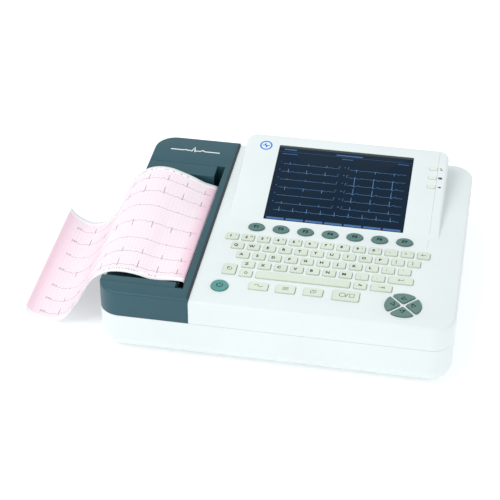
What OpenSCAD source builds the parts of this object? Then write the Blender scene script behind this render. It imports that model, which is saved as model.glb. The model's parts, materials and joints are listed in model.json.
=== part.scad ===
// Twelve-lead electrocardiograph: a desktop console with a tilted screen, a keyboard and a
// side printer. Millimetres, +X to the right, +Y to the back, +Z up, standing on its feet.

/* [Case] */
// Width of the case, left to right
body_w = 420; // [400:1:440]
// Depth of the case, front to back
body_d = 340; // [330:1:350]
// Height of the deck at the front edge
front_h = 87; // [86:0.5:90]
// Height of the deck at the back edge
back_h = 97; // [95:0.5:99]
// Radius of the four upright corners
corner_r = 27; // [25:1:32]
// Radius under the bottom edge
bottom_r = 20; // [16:1:22]
// Height of the seam between the lower and upper shells
seam_z = 55; // [54:0.5:56]
// Height of the feet
foot_h = 4; // [3:0.5:5]
// Thickness of the shells
wall = 3; // [2.5:0.5:3.5]

/* [Display] */
// Angle of the display hood from the horizontal
hood_tilt = 13.7; // [13:0.1:14]
// Left edge of the display hood
hood_x0 = -84.7; // [-88:0.1:-80]
// Right edge of the display hood
hood_x1 = 177.6; // [174:0.1:180]
// Where the display hood meets the deck
hood_y0 = 2; // [0:0.5:4]
// Back face of the display hood
hood_y1 = 151.5; // [150:0.5:154]
// Width of the window
window_w = 174; // [170:1:176]
// Depth of the window along the slope
window_d = 130.4; // [126:0.2:132]
// Middle of the window from the middle of the case
window_x = 46.4; // [44:0.1:49]

/* [Keys] */
// Distance between keys in a row
key_pitch_x = 19.5; // [19:0.1:20]
// Distance between rows
key_pitch_y = 17.6; // [17:0.1:18]
// Width of a letter key
key_w = 14.8; // [14:0.1:15.4]
// Depth of a letter key
key_d = 12.4; // [12:0.1:13]
// How far a key stands above the deck
key_rise = 1.9; // [1.5:0.1:2.4]
// How far a key travels
key_travel = 1.5; // [1:0.1:1.6]
// Gap around a key
key_gap = 0.4; // [0.3:0.05:0.6]
// Width of an oval function key
f_key_w = 20; // [18:0.5:21]
// Depth of an oval function key
f_key_d = 15; // [13:0.5:16]

/* [Printer] */
// Right edge of the dark printer frame
frame_x1 = -99; // [-101:0.5:-98]
// Height of the printer frame above the deck
frame_rise = 2; // [1:0.5:3]
// Right edge of the sliding paper door
door_x1 = -118.8; // [-120:0.1:-118]
// Front edge of the paper door
door_y0 = -148.4; // [-150:0.1:-147]
// Back edge of the paper door
door_y1 = 109.5; // [108:0.1:111]
// Height of the floor of the paper trough
trough_z = 80; // [79:0.5:81]
// Width of the chart paper
paper_w = 210; // [208:1:212]
// Middle of the paper, front to back
paper_y = -26; // [-28:1:-24]
// Radius of the platen roller
platen_r = 7.5; // [7:0.1:7.8]
// Radius of a full paper roll
roll_r = 25; // [22:0.5:25.5]
// Tooth size of the printer gears
gear_module = 0.8; // [0.8:0.1:0.8]

/* [Hidden] */
$fn = 64;
eps = 0.01;

// Colours
case_white = [0.93, 0.95, 0.94];
slate = [0.33, 0.41, 0.46];
key_cream = [0.88, 0.90, 0.84];
key_grey = [0.58, 0.66, 0.66];
key_teal = [0.36, 0.56, 0.54];
steel = [0.72, 0.73, 0.75];
board_green = [0.10, 0.35, 0.20];
soft_black = [0.10, 0.10, 0.11];
nylon = [0.86, 0.85, 0.80];
paper_pink = [0.95, 0.87, 0.90];

// The chart paper hangs off the left side, so the middle of the whole object is left of the
// middle of the case. The case sits to the right of the origin by this much.
paper_x0 = -316;
case_x = -(paper_x0 + body_w / 2) / 2;

// Deck and hood planes
deck_slope = atan((back_h - front_h) / body_d);
hood_z0 = deck_z(hood_y0);
hood_r = 13;
hood_top = 80;
window_y = 70.5;
window_inset = 0.8;
window_t = 2.3;
lcd_t = 8;
window_w_gap = 0.2;

// Keyboard
row_y = -35.2;
row_x = -71.2;
row_shift = 9.8;
function_y = -127.5;
f_key_y = -11.8;
f_key_x = -45.5;
f_key_pitch = 30.5;
flange = 1.1;
flange_t = 1.4;
plate_t = 3;
flange_top = plate_t + 0.3;
stem_r = 2;
stem_gap = 0.5;
board_depth = 9.2;
stem_end = board_depth - key_travel - stem_gap;
board_t = 1.6;
keypad_x = 45;
keypad_y = -76;
keypad_w = 250;
keypad_d = 148;
keypad_posts = [[-76, -20], [165, -22], [-76, -118], [165, -98]];
keypad_post_r = 2.4;
arrow_x = 147.8;
arrow_y = -133.3;
arrow_r = 21.2;
arrow_slot = 4;
power_x = -68;
power_y = -134;
power_r = 10.2;
hole_depth = plate_t + 2;
// Wide keys, as [x, y, width, depth]
esc = [-62.3, row_y - 3.71 * key_pitch_y, 15.6, 19.6];
enter = [140.6, row_y - 3 * key_pitch_y, 29, key_d];
shift = [row_x + 3 * row_shift, row_y - 4 * key_pitch_y, key_w, key_d];
space = [26.6, row_y - 4 * key_pitch_y, 111.6, key_d];
fn = [94.6, row_y - 4 * key_pitch_y, key_w, key_d];
tab = [119.5, row_y - 4 * key_pitch_y, 24.8, key_d];
mode = [-22.8, function_y, 22.6, 13.4];
menu = [9.5, function_y, 22.6, 14.6];
copy = [42.1, function_y, 22.6, 13.4];
start_stop = [80.5, function_y, 31.2, 18.2];
bottom_keys = [esc, enter, shift, space, fn, tab, mode, menu, copy, start_stop];

// Printer mechanism: the platen moves with the door, everything else stays in the frame
gear_tip = 0.9 * gear_module;
gear_root = 1.15 * gear_module;
tooth_root = 1.75 * gear_module;
tooth_mid = 1.3 * gear_module;
tooth_tip = 0.6 * gear_module;
platen_x = -121;
platen_z = 68.5;
shaft_r = 3;
run_gap = 0.05;
platen_teeth = 20;
idler_teeth = 30;
pinion_teeth = 12;
idler_x = platen_x + gear_module * (platen_teeth + idler_teeth) / 2;
pinion_angle = -30;
pinion_reach = gear_module * (idler_teeth + pinion_teeth) / 2;
pinion_x = idler_x + pinion_reach * cos(pinion_angle);
pinion_z = platen_z + pinion_reach * sin(pinion_angle);
gear_y = 86.5;
gear_w = 5;
head_pivot_x = -106;
head_pivot_z = 56;
head_pivot_r = 2;
roll_x = -160;
roll_z = 34;
core_r = 6;
frame_gap = 0.5;
joint_gap = 0.4;
slot_x1 = -109;
slot_wall_z = 83;
lip_z = 82;
lid_t = 2.5;
strip_y0 = -137.6;
strip_y1 = 86;
trough_edge_r = 7;
guide_t = 5;
guide_w = 3;
guide_z = 60;
guide_x1 = -113;
tongue_len = 16;
ear_y0 = -136;
ear_y1 = 81.5;
ear_t = 2.5;
ear_reach = 8;
bush_r = 5;
bush_flange = 0.8;
head_x0 = -110.5;
head_x1 = -104.5;
head_z0 = 60;
head_z1 = 79;
element_x = -112.5;
element_z0 = 62;
element_z1 = 77;
head_y0 = -133;
head_y1 = 81;
head_lug = 4;
cheek_t = 1.5;
cheek_x0 = -112;
cheek_top = 80;
rail_x0 = -101;
rail_x1 = -99.5;
motor_plate_x1 = -68;
chassis_foot = 15;
cheek_y0 = head_y0 - 0.5 - cheek_t;
cheek_y1 = head_y1 + 0.5;
spring_ys = [-110, -60, -10, 30];
spring_z = 70;
spring_r = 2.6;
spring_t = 0.9;
spring_len = 4.6;
motor_r = 12.5;
motor_len = 40;
motor_shaft_r = 1.5;
tray_t = 2.5;
hub_len = 9;
floor_top = foot_h + wall;

// Feet and screws
foot_x = 165;
foot_y = 125;
foot_r = 9;
screw_r = 1.5;
screw_head_r = 3;
screw_head_h = 2.4;
screw_len = 34;
screw_seat = 9;
boss_r = 5;
boss_top = 30;
cover_boss_top = 41;
white_posts = [[176, -138], [176, 138], [-86, -143], [-86, 140]];
dark_posts = [[-106, -145], [-106, 138], [-183, 136]];
cover_screws = [[4, -88], [126, -88]];

// Battery bay and its cover
bay_x0 = 10;
bay_x1 = 120;
bay_y0 = -120;
bay_y1 = -56;
bay_top = 40;
cover_t = 2;
cover_x0 = -4;
cover_x1 = 134;
cover_y0 = bay_y0 - 3;
cover_y1 = bay_y1 + 3;
grip_x = 52;
grip_pitch = 5;
grip_w = 2;
speaker_x = -45;
speaker_y = -90;
cone_r = 18;

// Boards and power supply
board_x0 = -76;
board_x1 = 84;
board_y0 = -40;
board_y1 = 130;
board_z = 14;
psu_x0 = 95;
psu_x1 = 165;
psu_y0 = 15;
psu_y1 = 138;
psu_top = 44;

// Back panel
panel_z = 39;
inlet_x = 150;
inlet_w = 46.4;
inlet_h = 22;
plug_x = inlet_x - 8;
plug_w = 24.4;
plug_h = 16.6;
rocker_x = inlet_x + 15;
rocker_w = 10;
rocker_h = 18;
rocker_rest = 8;
rocker_y = body_d / 2 - 4;
rocker_pin_r = 1;
rocker_in = 3.5;
rocker_out = 4.2;
stud_x = 100;
stud_hole_r = 4.2;
socket_x = -40;
socket_w = 30;
socket_h = 12.6;
lan_x = 20;
lan_w = 16.4;
lan_h = 14;
usb_x = 50;
usb_w = 14.6;
usb_h = 15.6;
lens_x = 160;
lens_ys = [117, 102, 87];
lens_w = 10;
lens_d = 5.4;

// Hand-chosen points that the chart paper runs through, from the platen over the door to the
// table, as [x, z]
paper_path = [
    [-113, 61], [-113, 71], [-113.2, 79.5], [-117.5, 85.6], [-128, 88], [-145, 91.4],
    [-162, 96], [-176, 98.8], [-190, 99], [-204, 96], [-215, 89], [-224, 79], [-232, 62.5],
    [-240, 46], [-248, 31], [-258, 16.5], [-267, 8], [-277, 3.2], [-287, 2.6], [-297, 6],
    [-306, 12], [-315.8, 21]
];
paper_t = 0.4;
path_steps = 4;

function deck_z(y) = front_h + (y + body_d / 2) * (back_h - front_h) / body_d;
function hood_z(y) = hood_z0 + (y - hood_y0) * tan(hood_tilt);

// A smooth curve through four neighbouring points, at fraction t between the middle two
function through(a, b, c, d, t) =
    0.5 * ((2 * b) + (c - a) * t + (2 * a - 5 * b + 4 * c - d) * t * t
    + (3 * b - a - 3 * c + d) * t * t * t);

function path_point(path, i, t) =
    let (last = len(path) - 1)
    through(path[max(i - 1, 0)], path[i], path[min(i + 1, last)], path[min(i + 2, last)], t);

function smooth_path(path, steps) = concat(
    [for (i = [0:len(path) - 2]) for (k = [0:steps - 1]) path_point(path, i, k / steps)],
    [path[len(path) - 1]]);

function side_step(path, i, off) =
    let (a = path[max(i - 1, 0)], b = path[min(i + 1, len(path) - 1)], d = b - a)
    path[i] + off * [-d[1], d[0]] / norm(d);

function reversed(list) = [for (i = [len(list) - 1:-1:0]) list[i]];

function strip_outline(path, t) = concat(
    [for (i = [0:len(path) - 1]) side_step(path, i, t / 2)],
    reversed([for (i = [0:len(path) - 1]) side_step(path, i, -t / 2)]));

// Moves the case frame to its place beside the origin
module placed() translate([case_x, 0, 0]) children();

// A box between two opposite corners
module box(lo, hi) translate(lo) cube(hi - lo);

// Puts things on the deck, with their own Z along its normal
module on_deck(x, y, up = 0)
    translate([x, y, deck_z(y)]) rotate([deck_slope, 0, 0]) translate([0, 0, up]) children();

// Puts things on the display hood, with their own Z along its normal
module on_hood(x, y, up = 0)
    translate([x, y, hood_z(y)]) rotate([hood_tilt, 0, 0]) translate([0, 0, up]) children();

// Puts things on the back panel, with their own Z pointing out of it
module on_back(x, z, out = 0)
    translate([x, body_d / 2 + out, z]) rotate([-90, 0, 0]) children();

// A cylinder along +Y from y0 to y1
module bar(x, z, y0, y1, r) translate([x, y0, z]) rotate([-90, 0, 0]) cylinder(h = y1 - y0, r = r);

// A rectangle with round corners, centred, made of squares and circles
module round_rect(w, d, r) {
    square([w - 2 * r, d], center = true);
    square([w, d - 2 * r], center = true);
    for (sx = [-1, 1], sy = [-1, 1])
        translate([sx * (w / 2 - r), sy * (d / 2 - r)]) circle(r = r);
}

// Section of the lower shell at an edge: upright side, round bottom edge
module edge_section(r, low_r, z0, z1) {
    translate([0, z0]) square([max(r - low_r, eps), z1 - z0]);
    translate([0, z0 + low_r]) square([r, z1 - z0 - low_r]);
    intersection() {
        translate([r - low_r, z0 + low_r]) circle(r = low_r);
        translate([0, z0]) square([r, low_r]);
    }
}

// A straight run of the edge section, from the middle of the solid out to +X
module edge_run(reach, length, r, low_r, z0, z1)
    translate([reach - r, length / 2, 0]) rotate([90, 0, 0])
        linear_extrude(length) edge_section(r, low_r, z0, z1);

// A block with round upright corners and a round bottom edge
module tub(w, d, r, low_r, z0, z1) {
    box([r - w / 2, r - d / 2, z0], [w / 2 - r, d / 2 - r, z1]);
    for (sx = [0, 1]) mirror([sx, 0, 0]) edge_run(w / 2, d - 2 * r, r, low_r, z0, z1);
    for (sy = [-90, 90]) rotate(sy) edge_run(d / 2, w - 2 * r, r, low_r, z0, z1);
    for (sx = [-1, 1], sy = [-1, 1])
        translate([sx * (w / 2 - r), sy * (d / 2 - r), 0])
            rotate_extrude() edge_section(r, low_r, z0, z1);
}

// Everything above the deck plane, moved along its normal
module above_deck(up = 0)
    translate([0, 0, deck_z(0)]) rotate([deck_slope, 0, 0])
        translate([-body_w, -body_d, up]) cube([2 * body_w, 2 * body_d, 100]);

// Everything above the hood plane, moved along its normal
module above_hood(up = 0)
    translate([0, hood_y0, hood_z0]) rotate([hood_tilt, 0, 0])
        translate([-body_w, -body_d, up]) cube([2 * body_w, 2 * body_d, 100]);

// The upper half of the case as a solid block under the deck, shrunk by inset
module deck_block(inset = 0, up = 0)
    difference() {
        translate([0, 0, seam_z]) linear_extrude(back_h)
            round_rect(body_w - 2 * inset, body_d - 2 * inset, corner_r - inset);
        above_deck(up);
    }

// Plan of the display hood: square at the front, round at the back
module hood_plan(inset) {
    w = hood_x1 - hood_x0;
    d = hood_y1 - hood_y0;
    translate([hood_x0 + inset, hood_y0 + inset]) square([w - 2 * inset, d - hood_r - inset]);
    translate([hood_x0 + hood_r, hood_y0 + inset]) square([w - 2 * hood_r, d - 2 * inset]);
    for (x = [hood_x0 + hood_r, hood_x1 - hood_r])
        translate([x, hood_y1 - hood_r]) circle(r = hood_r - inset);
}

module hood_block(inset = 0, up = 0)
    difference() {
        translate([0, 0, seam_z + 8]) linear_extrude(hood_top) hood_plan(inset);
        above_hood(up);
    }

// Keycap outlines, centred on the key
module cap_rect(w, d) round_rect(w, d, 1.6);
module cap_oval(w, d) polygon([for (a = [0:10:350]) [w / 2 * cos(a), d / 2 * sin(a)]]);
module cap_quarter(grow = 0)
    intersection() {
        circle(r = arrow_r + grow);
        translate([0, (arrow_slot / 2 - grow) * sqrt(2)]) rotate(45) square(60);
    }

// One key: the cap, a flange that keeps it in, and a stem down to its dome on the board
module key_body(stem_at = [0, 0]) {
    translate([0, 0, -flange_top]) linear_extrude(flange_top + key_rise) children(0);
    translate([0, 0, -flange_top - flange_t]) linear_extrude(flange_t) children(1);
    translate([stem_at[0], stem_at[1], -stem_end]) cylinder(h = stem_end - flange_top, r = stem_r);
}

module rect_key(x, y, w = key_w, d = key_d)
    on_deck(x, y) key_body() {
        cap_rect(w, d);
        cap_rect(w + 2 * flange, d + 2 * flange);
    }

module round_key(x, y, r)
    on_deck(x, y) key_body() {
        circle(r = r);
        circle(r = r + flange);
    }

module oval_key(x, y)
    on_deck(x, y) key_body() {
        cap_oval(f_key_w, f_key_d);
        cap_oval(f_key_w + 2 * flange, f_key_d + 2 * flange);
    }

module quarter_key(turn)
    on_deck(arrow_x, arrow_y) rotate(turn) key_body([0, arrow_r * 0.6]) {
        cap_quarter();
        cap_quarter(flange);
    }

// A row of letter keys
module key_row(x0, row, count)
    for (i = [0:count - 1]) rect_key(x0 + i * key_pitch_x, row_y - row * key_pitch_y);

// The through-cut in the deck for one key
module cut(x, y) on_deck(x, y, -hole_depth) linear_extrude(hole_depth + 3) children();

module rect_cut(x, y, w = key_w, d = key_d)
    cut(x, y) square([w + 2 * key_gap, d + 2 * key_gap], center = true);

module row_cuts(x0, row, count)
    for (i = [0:count - 1]) rect_cut(x0 + i * key_pitch_x, row_y - row * key_pitch_y);

module key_cuts() {
    row_cuts(row_x, 0, 13);
    row_cuts(row_x + row_shift, 1, 12);
    row_cuts(row_x + 2 * row_shift, 2, 11);
    row_cuts(row_x + 3 * row_shift, 3, 9);
    for (k = bottom_keys) rect_cut(k[0], k[1], k[2], k[3]);
    for (i = [0:6]) cut(f_key_x + i * f_key_pitch, f_key_y)
        cap_oval(f_key_w + 2 * key_gap, f_key_d + 2 * key_gap);
    for (turn = [0:90:270]) on_deck(arrow_x, arrow_y, -hole_depth) rotate(turn)
        linear_extrude(hole_depth + 3) cap_quarter(key_gap);
    cut(power_x, power_y) circle(r = power_r + key_gap);
}

// A gear in the XZ plane with straight-sided teeth, the first at an angle from +X
module gear(x, z, teeth, phase, bore) {
    pitch_r = gear_module * teeth / 2;
    root_r = pitch_r - gear_root;
    tip_r = pitch_r + gear_tip;
    translate([x, gear_y + gear_w, z]) rotate([90, 0, 0]) linear_extrude(gear_w) difference() {
        union() {
            circle(r = root_r + 0.1);
            for (i = [0:teeth - 1]) rotate(phase + i * 360 / teeth) polygon([
                [root_r * 0.9, -tooth_root / 2], [root_r, -tooth_root / 2],
                [pitch_r, -tooth_mid / 2], [tip_r, -tooth_tip / 2],
                [tip_r, tooth_tip / 2], [pitch_r, tooth_mid / 2],
                [root_r, tooth_root / 2], [root_r * 0.9, tooth_root / 2]
            ]);
        }
        circle(r = bore);
    }
}

// A screw that points up, with its head at the bottom and a cross recess
module screw(x, y, z, length)
    translate([x, y, z]) difference() {
        union() {
            cylinder(h = screw_head_h, r = screw_head_r);
            cylinder(h = length, r = screw_r);
        }
        for (a = [0, 90]) rotate(a)
            translate([-screw_head_r * 0.6, -0.4, -1]) cube([screw_head_r * 1.2, 0.8, 2]);
    }

// ---- Casings ----

module lower_case() color(case_white) placed() {
    difference() {
        tub(body_w, body_d, corner_r, bottom_r, foot_h, seam_z);
        difference() {
            tub(body_w - 2 * wall, body_d - 2 * wall, corner_r - wall, bottom_r - wall,
                floor_top, seam_z + 1);
            for (p = concat(white_posts, dark_posts)) translate([p[0], p[1], 0])
                cylinder(h = boss_top, r = boss_r);
            difference() {
                box([bay_x0 - 2, bay_y0 - 2, 0], [bay_x1 + 2, bay_y1 + 2, bay_top]);
                box([bay_x0, bay_y0, -1], [bay_x1, bay_y1, bay_top + 1]);
            }
            for (p = cover_screws) translate([p[0], p[1], 0])
                cylinder(h = cover_boss_top, r = boss_r);
        }
        for (p = concat(white_posts, dark_posts)) translate([p[0], p[1], 0]) {
            translate([0, 0, -1]) cylinder(h = screw_seat + 1, r = screw_head_r + 0.5);
            cylinder(h = boss_top + 1, r = screw_r + 0.4);
        }
        // Battery bay, with a ledge that the cover sits in
        box([bay_x0, bay_y0, -1], [bay_x1, bay_y1, floor_top + 1]);
        box([cover_x0, cover_y0, -1], [cover_x1, cover_y1, foot_h + cover_t]);
        for (p = cover_screws) translate([p[0], p[1], -1]) cylinder(h = cover_boss_top, r = screw_r);
        // Speaker slots
        for (i = [-2:2]) box([speaker_x + i * 6 - 1.2, speaker_y - 12, 0],
            [speaker_x + i * 6 + 1.2, speaker_y + 12, floor_top + 1]);
        // Back panel openings
        back_cut(inlet_x, inlet_w, inlet_h);
        back_cut(socket_x, socket_w, socket_h);
        back_cut(lan_x, lan_w, lan_h);
        back_cut(usb_x, usb_w, usb_h);
        on_back(stud_x, panel_z, -wall - 1) cylinder(h = wall + 2, r = stud_hole_r);
    }
}

module back_cut(x, w, h) back_box(x, panel_z, w, h, -wall - 1, 1);

module upper_case() color(case_white) placed()
    difference() {
        union() {
            difference() {
                union() {
                    deck_block();
                    hood_block();
                }
                // The hollow under the deck and inside the hood
                difference() {
                    union() {
                        deck_block(wall, -wall);
                        hood_block(wall, -wall);
                        translate([0, 0, seam_z - 1]) linear_extrude(2)
                            round_rect(body_w - 2 * wall, body_d - 2 * wall, corner_r - wall);
                    }
                    for (p = white_posts) translate([p[0], p[1], boss_top])
                        cylinder(h = back_h, r = boss_r - 0.5);
                }
            }
            for (p = white_posts) translate([p[0], p[1], boss_top])
                cylinder(h = seam_z - boss_top + 2, r = boss_r - 0.5);
        }
        // The printer's side of the case is open
        box([-body_w, -body_d, 0], [frame_x1 + joint_gap, body_d, 200]);
        for (p = white_posts) translate([p[0], p[1], 0])
            cylinder(h = screw_seat + screw_len + 1, r = screw_r);
        key_cuts();
        on_hood(window_x, window_y, -20) linear_extrude(40)
            square([window_w, window_d], center = true);
        for (y = lens_ys) on_hood(lens_x, y, -10) linear_extrude(20)
            square([lens_w, lens_d], center = true);
    }

module printer_frame() color(slate) placed()
    difference() {
        union() {
            difference() {
                deck_block(0, frame_rise);
                difference() {
                    union() {
                        deck_block(wall, frame_rise - wall);
                        translate([0, 0, seam_z - 1]) linear_extrude(2)
                            round_rect(body_w - 2 * wall, body_d - 2 * wall, corner_r - wall);
                    }
                    // Wall down beside the paper slot, and the right-hand lip
                    box([slot_x1, door_y0, slot_wall_z], [slot_x1 + 2, door_y1, 200]);
                    box([frame_x1 - 2, -body_d / 2 + wall, lip_z], [frame_x1, body_d / 2 - wall, 200]);
                    // Guides for the door's tongues
                    for (y = [door_y0 - frame_gap - guide_t, door_y1 + frame_gap])
                        box([wall - body_w / 2, y, seam_z], [guide_x1 + 1, y + guide_t, 200]);
                    for (p = dark_posts) translate([p[0], p[1], boss_top])
                        cylinder(h = back_h, r = boss_r - 0.5);
                }
            }
            for (p = dark_posts) translate([p[0], p[1], boss_top])
                cylinder(h = seam_z - boss_top + 2, r = boss_r - 0.5);
        }
        box([frame_x1, -body_d, 0], [body_w, body_d, 200]);
        for (p = dark_posts) translate([p[0], p[1], 0])
            cylinder(h = screw_seat + screw_len + 1, r = screw_r);
        // Grooves in the guides
        box([wall - body_w / 2, door_y0 - frame_gap - guide_w, guide_z],
            [guide_x1, door_y1 + frame_gap + guide_w, guide_z + guide_w + 0.3]);
        // Opening for the paper door, out through the left side
        box([-body_w, door_y0 - frame_gap, 0], [slot_x1, door_y1 + frame_gap, 200]);
    }

// ---- Printer door and paper path ----

module paper_door() color(slate) placed() {
    strip_front = [door_y0, strip_y0];
    strip_back = [strip_y1, door_y1];
    difference() {
        union() {
            // Raised strip across the front and the wider one across the back
            for (s = [strip_front, strip_back]) intersection() {
                deck_block(0, frame_rise);
                box([-body_w, s[0], seam_z + joint_gap], [door_x1, s[1], 200]);
            }
            // Trough floor and the left wall, with a soft edge that the paper hangs over
            intersection() {
                difference() {
                    translate([0, 0, seam_z]) linear_extrude(trough_z - seam_z)
                        square([body_w, body_d], center = true);
                    translate([-body_w / 2 - 1, -body_d, trough_z - trough_edge_r])
                        cube([trough_edge_r + 1, 2 * body_d, trough_edge_r + 1]);
                }
                box([-body_w, door_y0, seam_z + joint_gap], [door_x1, door_y1, trough_z]);
            }
            bar(trough_edge_r - body_w / 2, trough_z - trough_edge_r, door_y0, door_y1, trough_edge_r);
        }
        // Hollow underneath
        box([wall - body_w / 2, door_y0 - 1, 0], [0, door_y1 + 1, trough_z - lid_t - trough_edge_r]);
        box([wall - body_w / 2 + trough_edge_r, door_y0 - 1, 0], [0, door_y1 + 1, trough_z - lid_t]);
        bar(wall - body_w / 2 + trough_edge_r, trough_z - lid_t - trough_edge_r,
            door_y0 - 1, door_y1 + 1, trough_edge_r);
        for (s = [strip_front, strip_back]) intersection() {
            deck_block(0, frame_rise - lid_t);
            box([wall - body_w / 2, s[0] + 2, seam_z], [door_x1 - 2, s[1] - 2, 200]);
        }
    }
    // Tongues that run in the guides of the frame
    for (y = [door_y0 - guide_w, door_y1 - 2])
        box([door_x1 - tongue_len, y, guide_z + 0.3], [door_x1, y + guide_w + 2, guide_z + guide_w]);
    for (y = [door_y0, door_y1 - 2])
        box([door_x1 - tongue_len, y, guide_z + 0.3], [door_x1, y + 2, trough_z]);
    // Two ears that carry the platen's bushes
    for (y = [ear_y0, ear_y1]) difference() {
        box([platen_x - ear_reach, y, platen_z - ear_reach],
            [platen_x + 6, y + ear_t, trough_z - lid_t + eps]);
        bar(platen_x, platen_z, y - 1, y + ear_t + 1, bush_r);
    }
}

module tear_bar() color(steel) placed() {
    tooth = 2;
    teeth = floor((paper_w + 2) / tooth);
    y0 = paper_y - teeth * tooth / 2;
    translate([door_x1, 0, 0]) rotate([90, 0, 90]) linear_extrude(1.2) {
        polygon(concat(
            [[y0, trough_z - 4]],
            [for (i = [0:teeth]) each [[y0 + i * tooth, trough_z + 2.6],
                [y0 + (i + (i < teeth ? 0.5 : 0)) * tooth, trough_z + (i < teeth ? 3.5 : 2.6)]]],
            [[y0 + teeth * tooth, trough_z - 4]]));
    }
}

module platen_roller() color(soft_black) placed() difference() {
    bar(platen_x, platen_z, paper_y - paper_w / 2 - 0.5, paper_y + paper_w / 2 + 0.5, platen_r);
    bar(platen_x, platen_z, -body_d, body_d, shaft_r);
}

module platen_shaft() color(steel) placed()
    bar(platen_x, platen_z, ear_y0 - 1, gear_y + gear_w + 1, shaft_r);

module platen_gear() color(nylon) placed()
    gear(platen_x, platen_z, platen_teeth, 0, shaft_r);

module platen_bushes() color([0.72, 0.58, 0.30]) placed() {
    bush(ear_y0, ear_y0 + ear_t + bush_flange, ear_y0 + ear_t);
    bush(ear_y1 - bush_flange, ear_y1 + ear_t, ear_y1 - bush_flange);
}

// A bush between y0 and y1 with its flange starting at flange_y
module bush(y0, y1, flange_y) difference() {
    union() {
        bar(platen_x, platen_z, y0, y1, bush_r);
        bar(platen_x, platen_z, flange_y, flange_y + bush_flange, bush_r + 1.4);
    }
    bar(platen_x, platen_z, y0 - 1, y1 + 1, shaft_r + run_gap);
}

module chart_paper() color(paper_pink) placed()
    translate([0, paper_y + paper_w / 2, 0]) rotate([90, 0, 0]) linear_extrude(paper_w)
        polygon(strip_outline(smooth_path(paper_path, path_steps), paper_t));

// ---- Printer mechanism in the frame ----

module idler_gear() color(nylon) placed()
    gear(idler_x, platen_z, idler_teeth, 180 / idler_teeth, head_pivot_r + run_gap);

module motor_pinion() color(steel) placed() {
    gear(pinion_x, pinion_z, pinion_teeth, 180 / pinion_teeth, motor_shaft_r);
    bar(pinion_x, pinion_z, cheek_y1 - 12, gear_y + gear_w + 0.5, motor_shaft_r);
}

module drive_motor() color([0.55, 0.56, 0.58]) placed() difference() {
    union() {
        bar(pinion_x, pinion_z, cheek_y1 - motor_len, cheek_y1, motor_r);
        bar(pinion_x, pinion_z, cheek_y1 - 1, cheek_y1 + 2, 5);
        box([pinion_x - 4, cheek_y1 - motor_len, pinion_z - motor_r - 3],
            [pinion_x + 4, cheek_y1 - motor_len + 8, pinion_z]);
    }
    bar(pinion_x, pinion_z, cheek_y1 - 12.5, cheek_y1 + 3, motor_shaft_r + run_gap);
}

module print_head() color([0.62, 0.63, 0.65]) placed() difference() {
    union() {
        box([head_x0, head_y0, head_z0], [head_x1, head_y1, head_z1]);
        box([element_x, paper_y - paper_w / 2, element_z0],
            [head_x0 + 0.1, paper_y + paper_w / 2, element_z1]);
        for (y = [head_y0, head_y1 - head_lug]) {
            bar(head_pivot_x, head_pivot_z, y, y + head_lug, 3.6);
            box([head_pivot_x - 3.6, y, head_pivot_z], [head_x1, y + head_lug, head_z0 + 2]);
        }
    }
    bar(head_pivot_x, head_pivot_z, -body_d, body_d, head_pivot_r + run_gap);
}

// Ribbed sleeves stand for the coils that press the head against the platen
module head_springs() color(steel) placed()
    for (y = spring_ys) translate([head_x1, y, spring_z]) rotate([0, 90, 0])
        rotate_extrude() difference() {
            translate([spring_r - spring_t, 0]) square([spring_t, spring_len]);
            for (k = [0:3]) translate([spring_r, 0.9 + k * 1.1]) circle(r = 0.35);
        }

module printer_chassis() color(steel) placed() {
    difference() {
        union() {
            // Two cheeks, the rail behind the head, the motor plate and two feet
            for (y = [cheek_y0, cheek_y1])
                box([cheek_x0, y, floor_top], [rail_x1, y + cheek_t, cheek_top]);
            box([rail_x0, cheek_y0, 28], [rail_x1, 38, cheek_top]);
            box([rail_x0, cheek_y1, 40], [motor_plate_x1, cheek_y1 + cheek_t, cheek_top]);
            for (y = [cheek_y0, cheek_y1 + cheek_t - chassis_foot]) translate([cheek_x0, y, floor_top])
                cube([rail_x1 - cheek_x0, chassis_foot, cheek_t]);
        }
        for (y = spring_ys) translate([rail_x0 - 1, y, spring_z]) rotate([0, 90, 0])
            cylinder(h = 4, r = spring_r + 0.6);
        bar(pinion_x, pinion_z, cheek_y1 - 1, cheek_y1 + cheek_t + 1, 5);
    }
    bar(head_pivot_x, head_pivot_z, cheek_y0, cheek_y1 + cheek_t, head_pivot_r);
    bar(idler_x, platen_z, cheek_y1, gear_y + gear_w + 1, head_pivot_r);
    bar(idler_x, platen_z, cheek_y1 + cheek_t, gear_y - 0.5, head_pivot_r + 1.5);
}

module paper_roll() color(paper_pink) placed() difference() {
    bar(roll_x, roll_z, paper_y - paper_w / 2 - 0.5, paper_y + paper_w / 2, roll_r);
    bar(roll_x, roll_z, -body_d, body_d, core_r + run_gap);
}

module paper_tray() color([0.24, 0.26, 0.28]) placed() {
    y0 = paper_y - paper_w / 2 - 1 - tray_t;
    y1 = paper_y + paper_w / 2 + 0.5;
    box([roll_x - 28, y0, floor_top], [roll_x + 28, y1 + tray_t, floor_top + 1.4]);
    for (y = [y0, y1]) box([roll_x - 18, y, floor_top], [roll_x + 18, y + tray_t, roll_z + 12]);
    bar(roll_x, roll_z, y0, y0 + tray_t + hub_len, core_r);
    bar(roll_x, roll_z, y1 - hub_len, y1 + tray_t, core_r);
}

module door_magnets() color([0.30, 0.30, 0.32]) placed()
    for (y = [door_y0 - frame_gap - guide_w, door_y1 + frame_gap])
        box([door_x1 + 0.3, y, guide_z], [guide_x1, y + guide_w, guide_z + guide_w + 0.3]);

// ---- Display ----

module display_window() color([0.05, 0.08, 0.16]) placed()
    on_hood(window_x, window_y, -window_inset - window_t) linear_extrude(window_t)
        square([window_w - window_w_gap, window_d - window_w_gap], center = true);

module lcd_panel() color([0.45, 0.47, 0.48]) placed()
    on_hood(window_x, window_y, -window_inset - window_t - lcd_t) linear_extrude(lcd_t)
        square([window_w + 6, window_d + 3], center = true);

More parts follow.
